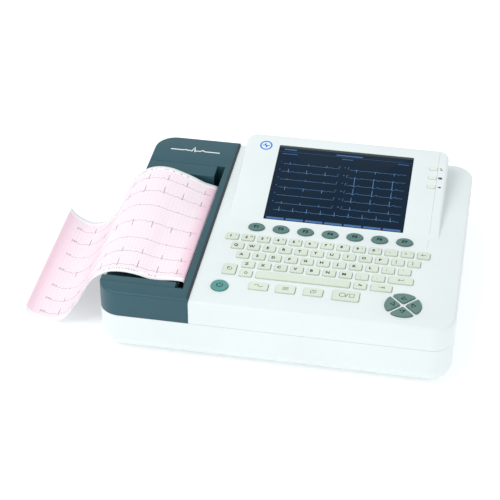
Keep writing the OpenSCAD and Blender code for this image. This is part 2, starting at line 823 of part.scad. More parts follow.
module indicator_lenses() color([0.93, 0.95, 0.80]) placed()
    for (y = lens_ys) on_hood(lens_x, y, -4) linear_extrude(4)
        square([lens_w - 0.2, lens_d - 0.2], center = true);

// ---- Electronics ----

module main_board() color(board_green) placed() {
    difference() {
        box([board_x0, board_y0, board_z], [board_x1, board_y1, board_z + board_t]);
        translate([board_x0 + 16, board_y1 - 12, board_z - 1]) cylinder(h = 4, r = 1.6);
    }
    for (x = [board_x0 + 6, board_x1 - 6], y = [board_y0 + 6, board_y1 - 6])
        translate([x, y, floor_top]) cylinder(h = board_z - floor_top + eps, r = 3);
    // Processor, memory, regulator, analogue front end and a row of capacitors
    box([-10, 20, 15], [14, 44, 17.4]);
    box([-50, 30, 15], [-30, 44, 17]);
    box([40, 60, 15], [62, 74, 18]);
    box([-50, 84, 15], [-14, 108, 24]);
    for (i = [0:4]) translate([30 + i * 10, -20, 15]) cylinder(h = 9, r = 3.2);
}

module keypad_board() color(board_green) placed() {
    on_deck(keypad_x, keypad_y, -board_depth - board_t)
        translate([-keypad_w / 2, -keypad_d / 2, 0]) cube([keypad_w, keypad_d, board_t]);
    for (p = keypad_posts) on_deck(p[0], p[1], -board_depth - eps)
        cylinder(h = board_depth - plate_t + eps, r = keypad_post_r);
}

module power_supply() color([0.70, 0.71, 0.70]) placed() difference() {
    box([psu_x0, psu_y0, floor_top], [psu_x1, psu_y1, psu_top]);
    for (i = [0:8]) translate([psu_x0 + 10, psu_y0 + 15 + i * 11, psu_top - 1])
        cube([psu_x1 - psu_x0 - 20, 4, 2]);
}

module battery_pack() color([0.16, 0.30, 0.52]) placed()
    box([bay_x0 + 1, bay_y0 + 1, foot_h + cover_t + 0.5], [bay_x1 - 1, bay_y1 - 1, bay_top - 6]);

module battery_cover() color(case_white) placed() difference() {
    box([cover_x0 + 0.3, cover_y0 + 0.3, foot_h], [cover_x1 - 0.3, cover_y1 - 0.3, foot_h + cover_t]);
    for (p = cover_screws) translate([p[0], p[1], foot_h - 1]) {
        cylinder(h = 1.8, r = screw_head_r + 0.3);
        cylinder(h = cover_t + 2, r = screw_r + 0.3);
    }
    for (i = [0:4]) translate([grip_x + i * grip_pitch, cover_y0 + 8, foot_h - 1])
        cube([grip_w, 12, 1.8]);
}

module speaker() color(soft_black) placed() translate([speaker_x, speaker_y, floor_top]) {
    difference() {
        cylinder(h = 6, r = cone_r);
        translate([0, 0, -1]) cylinder(h = 5, r = cone_r - 2);
    }
    translate([0, 0, 5]) cylinder(h = 8, r = cone_r / 2);
}

// ---- Back panel ----

module mains_inlet() color(soft_black) placed() difference() {
    union() {
        difference() {
            union() {
                back_box(inlet_x, panel_z, inlet_w + 3.6, inlet_h + 3, 0, 1.5);
                back_box(inlet_x, panel_z, inlet_w - 0.4, inlet_h - 0.4, -20, 0.5);
            }
            back_box(plug_x, panel_z, plug_w, plug_h, -14, 2);
        }
        // Line, neutral and earth blades
        for (p = [[-7, -2.5], [7, -2.5], [0, 1.5]])
            back_box(plug_x + p[0], panel_z + p[1], 2, 4, -15, 0);
    }
    back_box(rocker_x, panel_z, rocker_w + 0.6, rocker_h + 1, -13, 2);
    translate([rocker_x - rocker_w / 2 - 1.6, rocker_y, panel_z]) rotate([0, 90, 0])
        cylinder(h = rocker_w + 3.2, r = rocker_pin_r + run_gap);
}

// A box on the back panel, centred on x and z, between two depths out of the panel
module back_box(x, z, w, h, out0, out1)
    box([x - w / 2, body_d / 2 + out0, z - h / 2], [x + w / 2, body_d / 2 + out1, z + h / 2]);

module mains_switch() color([0.12, 0.12, 0.13]) placed()
    translate([rocker_x, rocker_y, panel_z]) rotate([rocker_rest, 0, 0]) {
        translate([-rocker_w / 2, 0, 0]) rotate([90, 0, 90]) linear_extrude(rocker_w)
            polygon([[-rocker_in, -5], [rocker_out, 0.4 - rocker_h / 2], [rocker_out - 1, 0],
                [rocker_out, rocker_h / 2 - 0.4], [-rocker_in, 5]]);
        translate([-rocker_w / 2 - 1.2, 0, 0]) rotate([0, 90, 0])
            cylinder(h = rocker_w + 2.4, r = rocker_pin_r);
    }

module earth_stud() color([0.80, 0.68, 0.34]) placed() {
    on_back(stud_x, panel_z) cylinder(h = 1.6, r = 7);
    on_back(stud_x, panel_z, -12) cylinder(h = 17, r = 3);
    on_back(stud_x, panel_z, -wall - 3) cylinder(h = 3, r = 6, $fn = 6);
}

module patient_socket() color([0.75, 0.76, 0.78]) placed() {
    back_box(socket_x, panel_z, 39, 15, 0, 1);
    back_box(socket_x, panel_z, socket_w - 0.6, socket_h - 0.6, -14, 1);
    translate([0, 0, panel_z]) difference() {
        back_box(socket_x, 0, 25, 8.4, 0, 5);
        for (row = [0, 1], i = [0:7 - row])
            on_back(socket_x + (i - 3.5 + row * 0.5) * 2.77, (row - 0.5) * 2.84, 2)
                cylinder(h = 5, r = 0.6, $fn = 16);
    }
    for (side = [-1, 1]) on_back(socket_x + side * 16.6, panel_z) cylinder(h = 4.6, r = 2.6, $fn = 6);
}

module data_ports() color([0.72, 0.74, 0.76]) placed() {
    difference() {
        back_box(lan_x, panel_z, lan_w - 0.4, lan_h - 0.4, -20, 0.4);
        back_box(lan_x, panel_z, 11.8, 8.4, -13, 1);
    }
    for (side = [-1, 1]) difference() {
        back_box(usb_x, panel_z + side * 3.7, usb_w - 0.4, 7.4 + eps, -18, 0.4);
        difference() {
            back_box(usb_x, panel_z + side * 3.7, 12.4, 5, -14, 1);
            back_box(usb_x, panel_z + side * 3.7 + 0.9, 11, 1.8, -15, -1.5);
        }
    }
}

// ---- Feet and screws ----

module feet() color(soft_black) placed()
    for (sx = [-1, 1], sy = [-1, 1]) translate([sx * foot_x, sy * foot_y, 0])
        cylinder(h = foot_h, r = foot_r);

module case_screws() color(steel) placed() {
    for (p = concat(white_posts, dark_posts)) screw(p[0], p[1], screw_seat - screw_head_h, screw_len);
    for (p = cover_screws) screw(p[0], p[1], foot_h + 0.8 - screw_head_h, screw_len);
}

// ---- Keys ----

module power_key() color(key_teal) placed() round_key(power_x, power_y, power_r);
module f1_key() color(key_grey) placed() oval_key(f_key_x, f_key_y);
module f2_key() color(key_grey) placed() oval_key(f_key_x + f_key_pitch, f_key_y);
module f3_key() color(key_grey) placed() oval_key(f_key_x + 2 * f_key_pitch, f_key_y);
module f4_key() color(key_grey) placed() oval_key(f_key_x + 3 * f_key_pitch, f_key_y);
module f5_key() color(key_grey) placed() oval_key(f_key_x + 4 * f_key_pitch, f_key_y);
module f6_key() color(key_grey) placed() oval_key(f_key_x + 5 * f_key_pitch, f_key_y);
module f7_key() color(key_grey) placed() oval_key(f_key_x + 6 * f_key_pitch, f_key_y);
module arrow_up_key() color(key_grey) placed() quarter_key(0);
module arrow_left_key() color(key_grey) placed() quarter_key(90);
module arrow_down_key() color(key_grey) placed() quarter_key(180);
module arrow_right_key() color(key_grey) placed() quarter_key(270);
module mode_key() color(key_cream) placed() rect_key(mode[0], mode[1], mode[2], mode[3]);
module menu_key() color(key_cream) placed() rect_key(menu[0], menu[1], menu[2], menu[3]);
module copy_key() color(key_cream) placed() rect_key(copy[0], copy[1], copy[2], copy[3]);
module start_stop_key() color(key_cream) placed()
    rect_key(start_stop[0], start_stop[1], start_stop[2], start_stop[3]);
module esc_key() color(key_cream) placed() rect_key(esc[0], esc[1], esc[2], esc[3]);
module enter_key() color(key_cream) placed() rect_key(enter[0], enter[1], enter[2], enter[3]);
module space_key() color(key_cream) placed() rect_key(space[0], space[1], space[2], space[3]);
module tab_key() color(key_cream) placed() rect_key(tab[0], tab[1], tab[2], tab[3]);
module number_row_keys() color(key_cream) placed() key_row(row_x, 0, 13);
module upper_row_keys() color(key_cream) placed() key_row(row_x + row_shift, 1, 12);
module home_row_keys() color(key_cream) placed() key_row(row_x + 2 * row_shift, 2, 11);
module lower_row_keys() color(key_cream) placed() key_row(row_x + 3 * row_shift, 3, 9);
module shift_fn_keys() color(key_cream) placed() {
    rect_key(shift[0], shift[1]);
    rect_key(fn[0], fn[1]);
}

lower_case();
upper_case();
printer_frame();
paper_door();
tear_bar();
platen_roller();
platen_shaft();
platen_gear();
platen_bushes();
idler_gear();
drive_motor();
motor_pinion();
print_head();
head_springs();
printer_chassis();
paper_roll();
paper_tray();
chart_paper();
door_magnets();
display_window();
lcd_panel();
indicator_lenses();
main_board();
keypad_board();
power_supply();
battery_pack();
battery_cover();
speaker();
mains_inlet();
mains_switch();
earth_stud();
patient_socket();
data_ports();
feet();
case_screws();
power_key();
f1_key();
f2_key();
f3_key();
f4_key();
f5_key();
f6_key();
f7_key();
arrow_up_key();
arrow_down_key();
arrow_left_key();
arrow_right_key();
mode_key();
menu_key();
copy_key();
start_stop_key();
esc_key();
enter_key();
space_key();
tab_key();
number_row_keys();
upper_row_keys();
home_row_keys();
lower_row_keys();
shift_fn_keys();
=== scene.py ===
# %% [markdown]
# A desktop electrocardiograph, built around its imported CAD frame.
#
# The frame holds every part at its true size and place, and this script gives the machine its
# looks: soft edges on the shells, domed keys with legends, a lit screen, printed chart paper and
# a finish for every part. Nothing here moves or resizes the frame.

# %% Load the frame
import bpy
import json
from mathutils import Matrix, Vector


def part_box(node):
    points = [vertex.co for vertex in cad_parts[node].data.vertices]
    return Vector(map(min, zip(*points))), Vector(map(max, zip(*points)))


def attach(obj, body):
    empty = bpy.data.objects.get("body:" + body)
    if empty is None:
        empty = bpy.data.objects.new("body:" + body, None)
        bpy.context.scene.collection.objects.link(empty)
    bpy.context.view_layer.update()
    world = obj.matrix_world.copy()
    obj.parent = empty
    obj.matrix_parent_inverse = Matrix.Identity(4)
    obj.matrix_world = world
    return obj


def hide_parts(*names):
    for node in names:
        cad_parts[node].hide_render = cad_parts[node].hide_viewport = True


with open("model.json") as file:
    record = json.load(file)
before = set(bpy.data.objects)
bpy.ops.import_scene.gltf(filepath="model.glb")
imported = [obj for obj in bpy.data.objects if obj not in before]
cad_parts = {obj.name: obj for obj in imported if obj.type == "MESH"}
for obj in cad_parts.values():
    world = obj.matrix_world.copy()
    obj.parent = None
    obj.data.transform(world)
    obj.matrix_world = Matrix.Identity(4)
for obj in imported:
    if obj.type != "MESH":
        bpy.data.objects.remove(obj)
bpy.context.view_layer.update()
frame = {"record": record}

import json
import math

import bmesh
import bpy
import numpy as np
from mathutils import Matrix, Vector, geometry

MM = 0.001
case_low, case_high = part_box("lower_case")
CASE_MIDDLE = np.array([(case_low.x + case_high.x) / 2 / MM, 0.0, 0.0])
print("case middle in the frame, mm:", CASE_MIDDLE)


# %% [markdown]
# The camera comes first, because it decides how much every later detail matters. It stands a
# little to the right of the machine and looks down on it. Its place is given in millimetres from
# the middle of the case, where it is easy to check with a tape.

# %% Camera
def in_frame(points):
    """Case coordinates in millimetres to frame coordinates in metres: add the middle, scale."""
    return (np.asarray(points, float) + CASE_MIDDLE) * MM


CAMERA_TARGET = (-57.86, 10.96, 40.0)
CAMERA_AZIMUTH = math.radians(10.19)
CAMERA_ELEVATION = math.radians(35.32)
CAMERA_ROLL = math.radians(0.19)
CAMERA_DISTANCE = 1942.5
CAMERA_LENS = 110.37

away = np.array([
    math.sin(CAMERA_AZIMUTH) * math.cos(CAMERA_ELEVATION),
    -math.cos(CAMERA_AZIMUTH) * math.cos(CAMERA_ELEVATION),
    math.sin(CAMERA_ELEVATION),
])
camera = bpy.data.objects.new("camera", bpy.data.cameras.new("camera"))
camera.data.lens = CAMERA_LENS
camera.data.sensor_width = 36.0
camera.location = in_frame(np.array(CAMERA_TARGET) + away * CAMERA_DISTANCE)
turn = (-Vector(away)).to_track_quat("-Z", "Y").to_matrix() @ Matrix.Rotation(CAMERA_ROLL, 3, "Z")
camera.rotation_euler = turn.to_euler()
bpy.context.scene.collection.objects.link(camera)
bpy.context.scene.camera = camera
print("camera at", [round(v, 3) for v in camera.location])

# %% [markdown]
# Studio light: one large soft lamp above the left shoulder, a weaker one from the right, and a
# bright even world. White plastic needs soft light, or its round edges vanish. The floor is pale
# and glows a little, so it stays white round the machine and the shadows stay light.

# %% Lights and floor
def area_lamp(name, place, aim, size, watts, colour):
    """A square soft lamp at place that points at aim."""
    lamp = bpy.data.objects.new(name, bpy.data.lights.new(name, "AREA"))
    lamp.data.size = size
    lamp.data.energy = watts
    lamp.data.color = colour
    lamp.location = place
    lamp.rotation_euler = (Vector(aim) - Vector(place)).to_track_quat("-Z", "Y").to_euler()
    bpy.context.scene.collection.objects.link(lamp)
    return lamp


area_lamp("key_lamp", (-0.9, -0.6, 1.8), (0.0, 0.0, 0.05), 1.3, 17.5, (1.0, 1.0, 1.0))
area_lamp("fill_lamp", (1.5, -1.6, 0.9), (0.0, 0.0, 0.05), 1.4, 3.0, (0.93, 0.97, 1.0))

world = bpy.data.worlds.new("studio")
bpy.context.scene.world = world
world.use_nodes = True
world.node_tree.nodes["Background"].inputs["Color"].default_value = (0.95, 0.98, 1.0, 1.0)
world.node_tree.nodes["Background"].inputs["Strength"].default_value = 0.82
bpy.context.scene.view_settings.view_transform = "Standard"

FLOOR_GLOW = 0.26
floor_mesh = bpy.data.meshes.new("floor")
floor_mesh.from_pydata([(-9, -9, 0), (9, -9, 0), (9, 9, 0), (-9, 9, 0)], [], [(0, 1, 2, 3)])
floor = bpy.data.objects.new("floor", floor_mesh)
bpy.context.scene.collection.objects.link(floor)
floor_paint = bpy.data.materials.new("floor")
floor_paint.use_nodes = True
floor_shader = floor_paint.node_tree.nodes["Principled BSDF"]
floor_shader.inputs["Base Color"].default_value = (0.93, 0.94, 0.95, 1.0)
floor_shader.inputs["Roughness"].default_value = 0.9
floor_shader.inputs["Emission Color"].default_value = (1.0, 1.0, 1.0, 1.0)
floor_shader.inputs["Emission Strength"].default_value = FLOOR_GLOW
floor_mesh.materials.append(floor_paint)
print("lamps:", ", ".join(lamp.name for lamp in bpy.data.lights))


# %% [markdown]
# Shader maths reads best as arithmetic. `Field` wraps one output socket, and its operators add
# Math nodes. `Paint` makes a material and adds any other node through one method.

# %% Shader helpers
class Field:
    """A value that varies over a surface. Operators on it add Math nodes."""

    def __init__(self, paint, socket):
        self.paint = paint
        self.socket = socket

    def math(self, operation, *others):
        """operation of this value and the others, as one Math node."""
        values = dict(enumerate((self, *others)))
        return self.paint.node("ShaderNodeMath", {"operation": operation}, values)

    def __add__(self, other):
        return self.math("ADD", other)

    def __sub__(self, other):
        return self.math("SUBTRACT", other)

    def __rsub__(self, other):
        return (self * -1.0) + other

    def __mul__(self, other):
        return self.math("MULTIPLY", other)

    def __truediv__(self, other):
        return self.math("DIVIDE", other)

    def __gt__(self, other):
        return self.math("GREATER_THAN", other)

    def __lt__(self, other):
        return self.math("LESS_THAN", other)

    __radd__ = __add__
    __rmul__ = __mul__


class Paint:
    """A material with one Principled shader, whose constant values are set on its own sockets."""

    def __init__(self, name, colour, roughness, **constants):
        self.material = bpy.data.materials.new(name)
        self.material.use_nodes = True
        self.tree = self.material.node_tree
        self.shader = self.tree.nodes["Principled BSDF"]
        self.colour = (*colour, 1.0)
        self.set("Base Color", self.colour)
        self.set("Roughness", roughness)
        for socket, value in constants.items():
            self.set(socket.replace("_", " "), value)

    def set(self, socket, value):
        """Gives a shader socket a constant, or links a Field to it."""
        if isinstance(value, Field):
            self.tree.links.new(value.socket, self.shader.inputs[socket])
        else:
            self.shader.inputs[socket].default_value = value

    def node(self, kind, settings=None, inputs=None, output=0):
        """Any node: its settings first, then the values or links of its sockets."""
        made = self.tree.nodes.new(kind)
        for key, value in (settings or {}).items():
            setattr(made, key, value)
        for key, value in (inputs or {}).items():
            if isinstance(value, Field):
                self.tree.links.new(value.socket, made.inputs[key])
            else:
                made.inputs[key].default_value = value
        return Field(self, made.outputs[output])

    def place(self):
        """Object coordinates, in metres from the frame's origin."""
        return self.node("ShaderNodeTexCoord", output="Object")

    def noise(self, scale, detail=2.0, rough=0.5, at=None):
        """Noise from 0 to 1, with scale in bumps per metre."""
        values = {"Vector": at or self.place(), "Scale": scale, "Detail": detail, "Roughness": rough}
        return self.node("ShaderNodeTexNoise", None, values)

    def ramp(self, value, low, high, out_low=0.0, out_high=1.0):
        """value from low..high to out_low..out_high, held at both ends."""
        ends = {"Value": value, 1: low, 2: high, 3: out_low, 4: out_high}
        return self.node("ShaderNodeMapRange", None, ends)

    def mix(self, factor, first, second):
        """first colour to second colour by factor."""
        return self.node("ShaderNodeMix", {"data_type": "RGBA"}, {0: factor, 6: first, 7: second}, 2)

    def bump(self, height, distance, strength=1.0):
        """Raises the surface by height times distance, in metres, into the shader's Normal."""
        values = {"Height": height, "Distance": distance, "Strength": strength}
        self.set("Normal", self.node("ShaderNodeBump", None, values))


# %% [markdown]
# Moulded plastic is never one flat colour: spark-eroded mould faces leave a fine grain, thick and
# thin walls cool to slightly different tones, and hands polish some places. So each plastic gets a
# grain in its normals, a broad drift in its colour, and a drift in its roughness.

# %% Plastics
def moulded(name, colour, roughness, grain=2600.0, depth=0.00002, drift=0.03, **constants):
    """Plastic: fine noise bumps the surface, broad noise shifts its tone and its roughness."""
    paint = Paint(name, colour, roughness, **constants)
    broad = paint.noise(9.0, 3.0)
    fine = paint.noise(grain, 1.0)
    darker = tuple(c * (1.0 - 2.5 * drift) for c in colour) + (1.0,)
    lighter = tuple(min(1.0, c * (1.0 + drift)) for c in colour) + (1.0,)
    paint.set("Base Color", paint.mix(paint.ramp(broad, 0.3, 0.7), darker, lighter))
    paint.set("Roughness", paint.ramp(broad + fine * 0.3, 0.4, 0.9, roughness + 0.05, roughness - 0.04))
    paint.bump(fine, depth)
    return paint


case_white = moulded("case_white", (0.76, 0.81, 0.80), 0.36, drift=0.012)
slate = moulded("slate_plastic", (0.024, 0.088, 0.112), 0.38, drift=0.05, Specular_IOR_Level=0.38)
key_cream = moulded("key_cream", (0.66, 0.73, 0.62), 0.38)
key_grey = moulded("key_grey", (0.085, 0.190, 0.175), 0.36)
key_teal = moulded("key_teal", (0.085, 0.290, 0.270), 0.34)
key_sage = moulded("key_sage", (0.110, 0.215, 0.185), 0.36)
black_plastic = moulded("black_plastic", (0.018, 0.018, 0.020), 0.42)
nylon = moulded("nylon", (0.72, 0.70, 0.62), 0.30, grain=900.0)
rubber = moulded("rubber", (0.020, 0.020, 0.021), 0.72, grain=1500.0, depth=0.00004)
legend_ink = moulded("legend_ink", (0.006, 0.009, 0.009), 0.60, Specular_IOR_Level=0.05)

# %% [markdown]
# Bare metal shows how it was made. Sheet steel carries fine rolling lines and a few cloudy
# patches of zinc, a ground shaft is smoother, and brass goes a little darker where it is handled.
# Here a stretched noise gives the lines, and a broad one gives the clouds.

# %% Metals
def metal(name, colour, roughness, lines=900.0, clouds=60.0):
    """Metal: stretched noise gives drawing lines, broad noise varies the polish and the tone."""
    paint = Paint(name, colour, roughness, Metallic=1.0)
    stretch = paint.node("ShaderNodeMapping", None, {"Vector": paint.place(), "Scale": (lines, 12.0, 12.0)})
    drawn = paint.noise(1.0, 3.0, at=stretch)
    cloud = paint.noise(clouds, 3.0)
    darker = tuple(c * 0.78 for c in colour) + (1.0,)
    paint.set("Base Color", paint.mix(paint.ramp(cloud, 0.35, 0.7), darker, (*colour, 1.0)))
    paint.set("Roughness", paint.ramp(drawn + cloud * 0.5, 0.4, 1.0, roughness - 0.08, roughness + 0.10))
    paint.bump(drawn, 0.000008)
    return paint


steel = metal("ground_steel", (0.62, 0.63, 0.65), 0.26)
blued_steel = metal("blued_steel", (0.055, 0.060, 0.070), 0.42)
zinc_steel = metal("zinc_steel", (0.55, 0.56, 0.57), 0.40, clouds=110.0)
aluminium = metal("aluminium", (0.70, 0.71, 0.72), 0.36)
brass = metal("brass", (0.72, 0.53, 0.24), 0.30)

# %% [markdown]
# The last group is what sits inside the case. A circuit board is solder mask over copper, so the
# mask is a little lighter where copper lies under it. The battery has a heat-shrunk sleeve.
# A roll of paper shows its windings on its ends: rings at a constant pitch round its axis.

# %% Inside finishes
def board_paint():
    """Solder mask: a cell pattern lightens the green where copper would run beneath it."""
    paint = Paint("board", (0.02, 0.14, 0.06), 0.35, Coat_Weight=0.3)
    cells = paint.node("ShaderNodeTexVoronoi", {"distance": "CHEBYCHEV"},
                       {"Vector": paint.place(), "Scale": 150.0, "Randomness": 0.4})
    track = paint.ramp(cells, 0.25, 0.40)
    paint.set("Base Color", paint.mix(track, (0.03, 0.20, 0.08, 1.0), (0.015, 0.10, 0.05, 1.0)))
    paint.bump(track, 0.00004)
    return paint


def roll_paint(node):
    """Windings: the distance from the roll's axis, cut into turns a quarter of a millimetre thick."""
    low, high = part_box(node)
    paint = Paint("paper_roll", (0.86, 0.78, 0.80), 0.75)
    middle = (-(low.x + high.x) / 2, 0.0, -(low.z + high.z) / 2)
    moved = paint.node("ShaderNodeMapping", None,
                       {"Vector": paint.place(), "Location": middle, "Scale": (1.0, 0.0, 1.0)})
    radius = paint.node("ShaderNodeVectorMath", {"operation": "LENGTH"}, {0: moved}, 1)
    turns = (radius / 0.00025).math("FRACT")
    shade = turns * 0.6 + paint.noise(300.0) * 0.4
    paint.set("Base Color", paint.mix(shade, (0.70, 0.60, 0.63, 1.0), (0.92, 0.85, 0.87, 1.0)))
    paint.set("Roughness", paint.ramp(shade, 0.0, 1.0, 0.85, 0.65))
    return paint


board = board_paint()
roll_finish = roll_paint("paper_roll")
battery_wrap = moulded("battery_wrap", (0.04, 0.10, 0.26), 0.28, grain=120.0, depth=0.0003, drift=0.08)
lens = moulded("lens", (0.76, 0.83, 0.72), 0.16, grain=300.0, Coat_Weight=0.6)
print("materials:", len(bpy.data.materials))


# %% [markdown]
# All custom pieces go through one small surface kit. A `Surface` collects arrays of points and
# faces, in case millimetres, then becomes one mesh object at the origin. It can loft a stack of
# rings, close a ring with a fan, build a box, and fill a flat outline round its holes.

# %% Surface kit
class Surface:
    """Points and faces of one piece, in case millimetres, with a paint index for each face."""

    def __init__(self):
        self.points, self.faces, self.paints, self.count = [], [], [], 0

    def add(self, points, faces, paint=0):
        """Appends points (n, 3) and faces that index into them."""
        faces = [list(face) for face in faces]
        self.faces += [[index + self.count for index in face] for face in faces]
        self.paints += [paint] * len(faces)
        self.points.append(np.asarray(points, float).reshape(-1, 3))
        self.count += len(self.points[-1])

    def loft(self, rings, closed=True, paint=0):
        """Joins each ring (n, 3) to the next with quads. Anticlockwise rings that rise face out."""
        rings = np.asarray(rings, float)
        index = np.arange(rings.shape[0] * rings.shape[1]).reshape(rings.shape[:2])
        if closed:
            index = np.column_stack([index, index[:, 0]])
        quads = np.stack([index[:-1, :-1], index[:-1, 1:], index[1:, 1:], index[1:, :-1]], axis=-1)
        self.add(rings, quads.reshape(-1, 4).tolist(), paint)

    def lid(self, ring, paint=0, flip=False):
        """Closes a ring with a fan about its middle."""
        count = len(ring)
        after = (np.arange(count) + 1) % count
        fan = np.column_stack([np.arange(count), after, np.full(count, count)])
        fan = fan[:, ::-1] if flip else fan
        self.add(np.vstack([ring, np.mean(ring, axis=0)]), fan.tolist(), paint)

    def block(self, low, high, paint=0):
        """A box between two corners."""
        ring = np.array([(0, 0), (1, 0), (1, 1), (0, 1)], float)
        low, high = np.array(low, float), np.array(high, float)
        plan = low[:2] + ring * (high - low)[:2]
        rings = [raised(plan, low[2]), raised(plan, high[2])]
        self.loft(rings, paint=paint)
        self.add(rings[0], [(3, 2, 1, 0)], paint)
        self.add(rings[1], [(0, 1, 2, 3)], paint)

    def fill(self, outer, holes, height, flip=False, lines=()):
        """Triangles between an outline and its holes, lifted by height(x, y).

        The triangles come from a constrained Delaunay triangulation of all the loops. Those whose
        middle lies in a hole are dropped.
        """
        loops = [outer, *holes, *lines]
        starts = np.cumsum([0] + [len(loop) for loop in loops])
        edges = [(start + k, start + (k + 1) % len(loop))
                 for start, loop in zip(starts, loops) for k in range(len(loop))]
        flat = [Vector(p) for p in np.vstack(loops).tolist()]
        found = geometry.delaunay_2d_cdt(flat, edges, [], 1, 1e-5)
        plan = np.array([tuple(p) for p in found[0]], float)
        triangles = np.array([tuple(t) for t in found[2]])
        middles = plan[triangles].mean(axis=1)
        keep = ~np.any([inside(middles, hole) for hole in holes], axis=0) if holes else slice(None)
        triangles = triangles[keep]
        if flip:
            triangles = triangles[:, ::-1]
        self.add(np.column_stack([plan, height(plan[:, 0], plan[:, 1])]), triangles.tolist())

    def piece(self, name, *paints, sharp=40.0):
        """Makes the mesh object: joins matching points and shades smooth up to the sharp angle."""
        mesh = bpy.data.meshes.new(name)
        mesh.from_pydata(in_frame(np.vstack(self.points)).tolist(), [], self.faces)
        mesh.polygons.foreach_set("material_index", self.paints)
        for paint in paints:
            mesh.materials.append(paint.material)
        made = bmesh.new()
        made.from_mesh(mesh)
        bmesh.ops.remove_doubles(made, verts=made.verts, dist=3e-6)
        bmesh.ops.dissolve_degenerate(made, edges=made.edges, dist=1e-6)
        bmesh.ops.recalc_face_normals(made, faces=made.faces)
        open_edges = sum(not edge.is_manifold for edge in made.edges)
        made.to_mesh(mesh)
        made.free()
        mesh.shade_smooth()
        mesh.set_sharp_from_angle(angle=math.radians(sharp))
        made = bpy.data.objects.new(name, mesh)
        bpy.context.scene.collection.objects.link(made)
        print(f"{name}: {len(mesh.polygons)} faces, {open_edges} open edges")
        return made


def raised(plan, z):
    """Plan points (n, 2) and a height, or one height for each, as points (n, 3)."""
    return np.column_stack([plan, np.broadcast_to(z, len(plan))])


def inside(points, loop):
    """Even-odd rule: a point is inside where a ray to its right crosses the loop an odd number of times."""
    x, y = points[:, :1], points[:, 1:]
    x0, y0 = loop[:, 0], loop[:, 1]
    x1, y1 = np.roll(x0, -1), np.roll(y0, -1)
    rise = np.where(y1 == y0, 1e-12, y1 - y0)
    crosses = ((y0 > y) != (y1 > y)) & (x < x0 + (y - y0) / rise * (x1 - x0))
    return crosses.sum(axis=1) % 2 == 1


def arc(x, y, radius, start, end, steps=10):
    """Points on a circle from start to end, in degrees."""
    turn = np.radians(np.linspace(start, end, steps + 1))
    return np.column_stack([x + radius * np.cos(turn), y + radius * np.sin(turn)])


def run(start, end, spacing=12.0):
    """Points on a straight line, without its two ends."""
    start, end = np.array(start, float), np.array(end, float)
    count = max(1, int(np.linalg.norm(end - start) / spacing))
    return start + (end - start) * (np.arange(1, count) / count)[:, None]


def rounded(width, depth, radius, steps=6):
    """Outline of a rectangle with round corners, centred, anticlockwise."""
    w, d = width / 2 - radius, depth / 2 - radius
    return np.vstack([arc(x, y, radius, a, a + 90, steps)
                      for x, y, a in ((w, -d, -90), (w, d, 0), (-w, d, 90), (-w, -d, 180))])


def ellipse(width, depth, count=48):
    """Outline of an ellipse, centred: (w/2 cos t, d/2 sin t)."""
    turn = np.linspace(0, 2 * np.pi, count, endpoint=False)
    return np.column_stack([width / 2 * np.cos(turn), depth / 2 * np.sin(turn)])


def inset(loop, distance):
    """Moves every edge of a closed loop inwards by its own distance.

    A corner between edges with inward normals n1, n2 moves by v with n1.v = d1 and n2.v = d2, so
    v = (d1 + d2)/2 (n1 + n2)/(1 + c) + (d1 - d2)/2 (n1 - n2)/(1 - c), where c = n1.n2.
    """
    after = np.broadcast_to(np.asarray(distance, float), len(loop))
    before = np.roll(after, 1)
    step = np.roll(loop, -1, axis=0) - loop
    step /= np.linalg.norm(step, axis=1)[:, None]
    n2 = np.column_stack([-step[:, 1], step[:, 0]])
    n1 = np.roll(n2, 1, axis=0)
    c = (n1 * n2).sum(axis=1)[:, None]
    shared = ((before + after) / 2)[:, None] * (n1 + n2) / (1 + c)
    unequal = ((before - after) / 2)[:, None] * (n1 - n2) / np.maximum(1 - c, 1e-3)
    return loop + shared + np.where(1 - c > 1e-3, unequal, 0.0)


def without_repeats(loop):
    """The loop without points that repeat their neighbour."""
    step = np.linalg.norm(np.roll(loop, -1, axis=0) - loop, axis=1)
    return loop[step > 1e-6]


def turned(plan, degrees):
    """Plan points turned about the origin."""
    c, s = math.cos(math.radians(degrees)), math.sin(math.radians(degrees))
    return plan @ np.array([(c, s), (-s, c)])


def quarter_turn(steps):
    """Inset and drop of a round edge of radius 1, from its side to its top: 1 - cos t, 1 - sin t."""
    turn = np.linspace(0, np.pi / 2, steps + 1)
    return list(zip(1 - np.cos(turn), 1 - np.sin(turn)))


# %% [markdown]
# The sizes of the shells. The deck is a plane that rises 10 mm from front to back, and the
# display hood is a steeper plane that leaves the deck near its middle. Both are kept as height
# functions, so walls, rims and fills all ask the same function and always meet.

# %% Sizes of the shells
HALF_W, HALF_D, CORNER_R, WALL = 210.0, 170.0, 27.0, 3.0
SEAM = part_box("lower_case")[1].z / MM
PARTING = 0.35
DECK_SLOPE = math.atan(10.0 / 340.0)
HOOD_SLOPE = math.radians(13.7)
HOOD = (-84.7, 2.0, 177.6, 151.5)
FRAME_RISE = 2.0


def deck(x, y):
    """Height of the white deck: 87 mm at the front edge, 97 mm at the back."""
    return 87.0 + (y + HALF_D) * math.tan(DECK_SLOPE) + 0.0 * x


def dark_top(x, y):
    """Height of the dark printer frame, two millimetres above the deck."""
    return deck(x, y) + FRAME_RISE


def hood(x, y):
    """Height of the display hood: it leaves the deck at its front edge and climbs at 13.7 degrees."""
    return deck(x, HOOD[1]) + (y - HOOD[1]) * math.tan(HOOD_SLOPE)


def case_box(node):
    """Low and high corner of a CAD node in case millimetres."""
    return [np.array(corner) / MM - CASE_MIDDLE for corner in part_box(node)]


